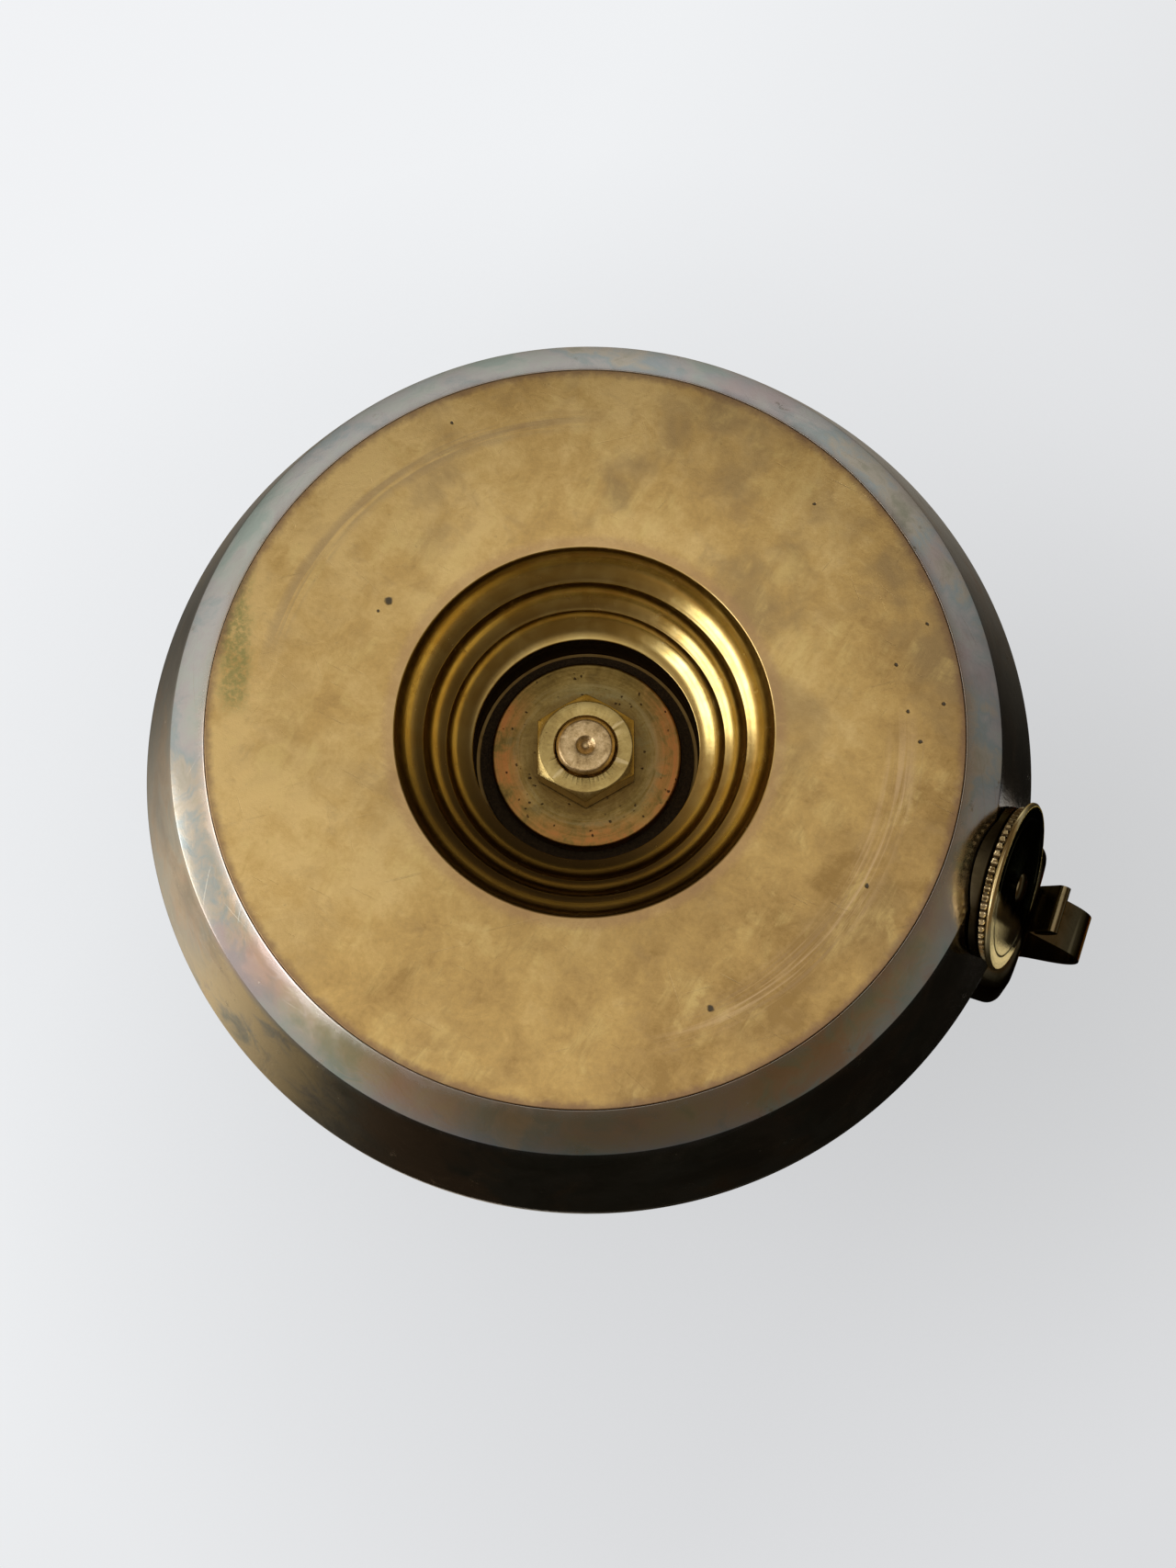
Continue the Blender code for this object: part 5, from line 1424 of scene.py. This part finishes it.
# ================================================================ floor and backdrop
def sheet_colour(look):
    """Pale paper with painted light: greyer towards +x and +y as the light falls off, with a soft shadow
    and a few flecks.
    """
    place = look.make("ShaderNodeTexCoord", out="Object").vector("MULTIPLY", (1000.0,) * 3)
    x, y, _ = place.xyz()
    # painted light: the paper is brightest at -x, -y and falls off to grey at +x, +y
    light_falloff = x * 0.0034 + y * 0.0020
    colour = (light_falloff * 0.5 + 0.5).ramp(
        (0.10, (0.885, 0.895, 0.915)), (0.36, (0.868, 0.882, 0.900)),
        (0.62, (0.735, 0.742, 0.757)), (0.90, (0.690, 0.698, 0.715)))
    # broad soft shadow on the +x side of the tank
    away = place.vector("MULTIPLY", (1.0, 1.0, 0.0)).vector("SUBTRACT", (74.0, 6.0, 0.0))
    away_x, away_y, _ = away.xyz()
    distance = (away_x * away_x * 1.15 + away_y * away_y).math("SQRT")
    shadow = distance.rise(5.0, 92.0, start=0.10, end=0.0)
    colour = colour.times(join(1.0 - shadow, 1.0 - shadow, 1.0 - shadow * 1.06))
    fleck = place.warp(scale=0.02, amount=20.0).cells(scale=0.011).fall(0.010, 0.022)
    fleck = fleck * place.noise(scale=0.03, detail=2.0).rise(0.50, 0.60)
    return colour.toward((0.36, 0.33, 0.30), fleck * 0.22)


def backdrop(name, height, facing_up):
    """A large one-sided sheet that only the camera sees."""
    half = 3.0
    verts = [(-half, -half, height), (half, -half, height), (half, half, height), (-half, half, height)]
    mesh = bpy.data.meshes.new(name)
    mesh.from_pydata(verts, [], [(0, 1, 2, 3) if facing_up else (3, 2, 1, 0)])
    ob = bpy.data.objects.new(name, mesh)
    bpy.context.scene.collection.objects.link(ob)
    look = new_look(name + "_paper")
    if facing_up:
        colour = look.mix(0.5, (0.80, 0.81, 0.83), (0.84, 0.85, 0.87))
    else:
        colour = sheet_colour(look)
    # painted shade: ambient occlusion darkens the sheet's glow close to the burner
    occlusion_shade = look.make("ShaderNodeAmbientOcclusion", {"Distance": 0.09}, "AO", samples=12)
    occlusion_shade = occlusion_shade.rise(0.0, 1.0, start=0.62, kind="LINEAR")
    colour = colour.times(join(occlusion_shade, occlusion_shade, occlusion_shade))
    view = look.new("ShaderNodeNewGeometry")
    hide = Value(look, view.outputs["Backfacing"])
    if not facing_up:
        # seen only from well below, so that level views keep a plain ground
        incoming = Value(look, view.outputs["Incoming"])
        hide = hide.math("MAXIMUM", (incoming.xyz()[2] * -1.0).fall(0.30, 0.60))
    paper = look.make("ShaderNodeEmission", (colour,))
    clear = look.make("ShaderNodeBsdfTransparent")
    ob.data.materials.append(look.output(look.make("ShaderNodeMixShader", (hide, paper, clear))))
    ob.visible_diffuse = False
    ob.visible_glossy = False
    ob.visible_transmission = False
    ob.visible_shadow = False


BACKDROP_GAP = 0.0002
backdrop("sheet", first_box[1].z + BACKDROP_GAP, facing_up=False)
backdrop("floor", -BACKDROP_GAP, facing_up=True)

# ================================================================ camera
scene = bpy.context.scene
camera = bpy.data.cameras.new("camera")
camera_object = bpy.data.objects.new("camera", camera)
scene.collection.objects.link(camera_object)
camera_axes = Matrix((
    (0.99977, -0.00247, 0.02173),     # right
    (-0.00247, -0.97450, -0.22441),   # up
    (0.02173, 0.22441, -0.97425)))    # back
camera_object.matrix_world = (Matrix.Translation((AXIS_X + 0.00936, 0.09724, -0.39043))
                              @ camera_axes.transposed().to_4x4())
camera.lens = 70.46
camera.sensor_width = 36.0
camera.sensor_fit = "AUTO"
camera.clip_start = 0.005
camera.clip_end = 20.0
scene.camera = camera_object

# ================================================================ light
# A soft room that keeps its place about the camera, with its own z near the world's -z:
# a window on the left, a pale ceiling behind the camera, a darker room elsewhere.


def room_light(world):
    rad = math.radians
    look = Look(world)
    ray = look.make("ShaderNodeVectorTransform",
                    (look.make("ShaderNodeTexCoord", out="Generated"),),
                    vector_type="VECTOR", convert_from="WORLD", convert_to="CAMERA")
    ray = ray.vector("NORMALIZE")
    room_x = ray.vector("DOT_PRODUCT", (0.99977, 0.00247, -0.02173))
    room_y = ray.vector("DOT_PRODUCT", (0.00247, 0.97450, 0.22440))
    room_z = ray.vector("DOT_PRODUCT", (-0.02170, 0.22440, -0.97400))
    level_length = room_x.hypot(room_y) + 0.0001
    flat_x = room_x.math("DIVIDE", level_length)
    flat_y = room_y.math("DIVIDE", level_length)

    def lobe(value):
        return value.math("MAXIMUM", 0.0) * value.math("MAXIMUM", 0.0)

    to_left, to_right = lobe(flat_x * -1.0), lobe(flat_x)
    to_up, to_down = lobe(flat_y), lobe(flat_y * -1.0)
    near_left = (flat_x * -1.0).math("MAXIMUM", 0.0).math("POWER", 9.0)
    near_up = flat_y.math("MAXIMUM", 0.0).math("POWER", 5.0)

    def sides(left, right, up, down):
        return to_left * left + to_right * right + to_up * up + to_down * down

    # room brightness by side, in belts of elevation
    elevation = room_z.math("MAXIMUM", -1.0).math("MINIMUM", 1.0).math("ARCSINE")
    azimuth = flat_y.math("ARCTAN2", flat_x * -1.0)
    low = sides(left=0.025, right=0.008, up=0.02, down=0.011) + (near_left * 0.62) + (near_up * 0.28)
    level = sides(left=0.72, right=0.20, up=0.67, down=0.090)
    above = sides(left=0.72, right=0.20, up=0.10, down=0.090)
    high = sides(left=0.32, right=0.085, up=0.07, down=0.100)
    glow = low.blend(level, elevation.rise(rad(-34), rad(-6)))
    glow = glow.blend(above, elevation.rise(rad(-4), rad(3)))
    glow = glow.blend(high, elevation.rise(rad(5), rad(19)))
    ceiling = (elevation - to_up * rad(7)).rise(rad(46), rad(72))
    glow = glow.blend(0.92, ceiling)

    def patch(az, az_half, el, el_half, soft, power, around=azimuth):
        """A soft-edged rectangle of light, in degrees."""
        off_az = abs(around - rad(az))
        off_el = abs(elevation - rad(el))
        return (off_az.fall(rad(az_half - soft), rad(az_half + soft))
                * off_el.fall(rad(el_half - soft), rad(el_half + soft)) * power)

    def glazing_bar(value, degrees):
        return abs(value - rad(degrees)).rise(rad(0.8), rad(2.4), start=0.25)

    window = patch(az=-13, az_half=25, el=27, el_half=14, soft=4, power=3.8)
    window = window * glazing_bar(azimuth, -9) * glazing_bar(elevation, 28)
    # pale table top seen in the disc on the filler cap
    table = patch(az=6.6, az_half=6.5, el=-58.5, el_half=7.5, soft=2.5, power=1.25,
                  around=flat_y.math("ARCTAN2", flat_x))
    sill = patch(az=-4, az_half=11, el=-23, el_half=12, soft=4, power=2.0)
    tint = look.mix(room_z.rise(-0.62, -0.34), (1.0, 0.92, 0.79), (0.95, 1.0, 1.04))
    tint = tint.toward((1.12, 0.82, 0.48), room_z.rise(-0.02, 0.12))
    tint = tint.toward((1.02, 0.975, 0.90), room_z.rise(0.66, 0.92))
    room = look.make("ShaderNodeBackground", (tint, glow))
    panes = look.make("ShaderNodeBackground", ((0.97, 1.0, 1.06), window + sill + table))
    lit = look.make("ShaderNodeAddShader", (room, panes))
    # the camera itself sees a plain pale ground
    seen = look.make("ShaderNodeBackground", ((0.83, 0.84, 0.86),))
    is_camera = look.make("ShaderNodeLightPath", out="Is Camera Ray")
    look.output(look.make("ShaderNodeMixShader", (is_camera, lit, seen)), "ShaderNodeOutputWorld")


scene.world = bpy.data.worlds.new("studio")
room_light(scene.world)

scene.view_settings.view_transform = "Standard"
scene.view_settings.look = "None"
scene.view_settings.exposure = 0.0
scene.view_settings.gamma = 1.0
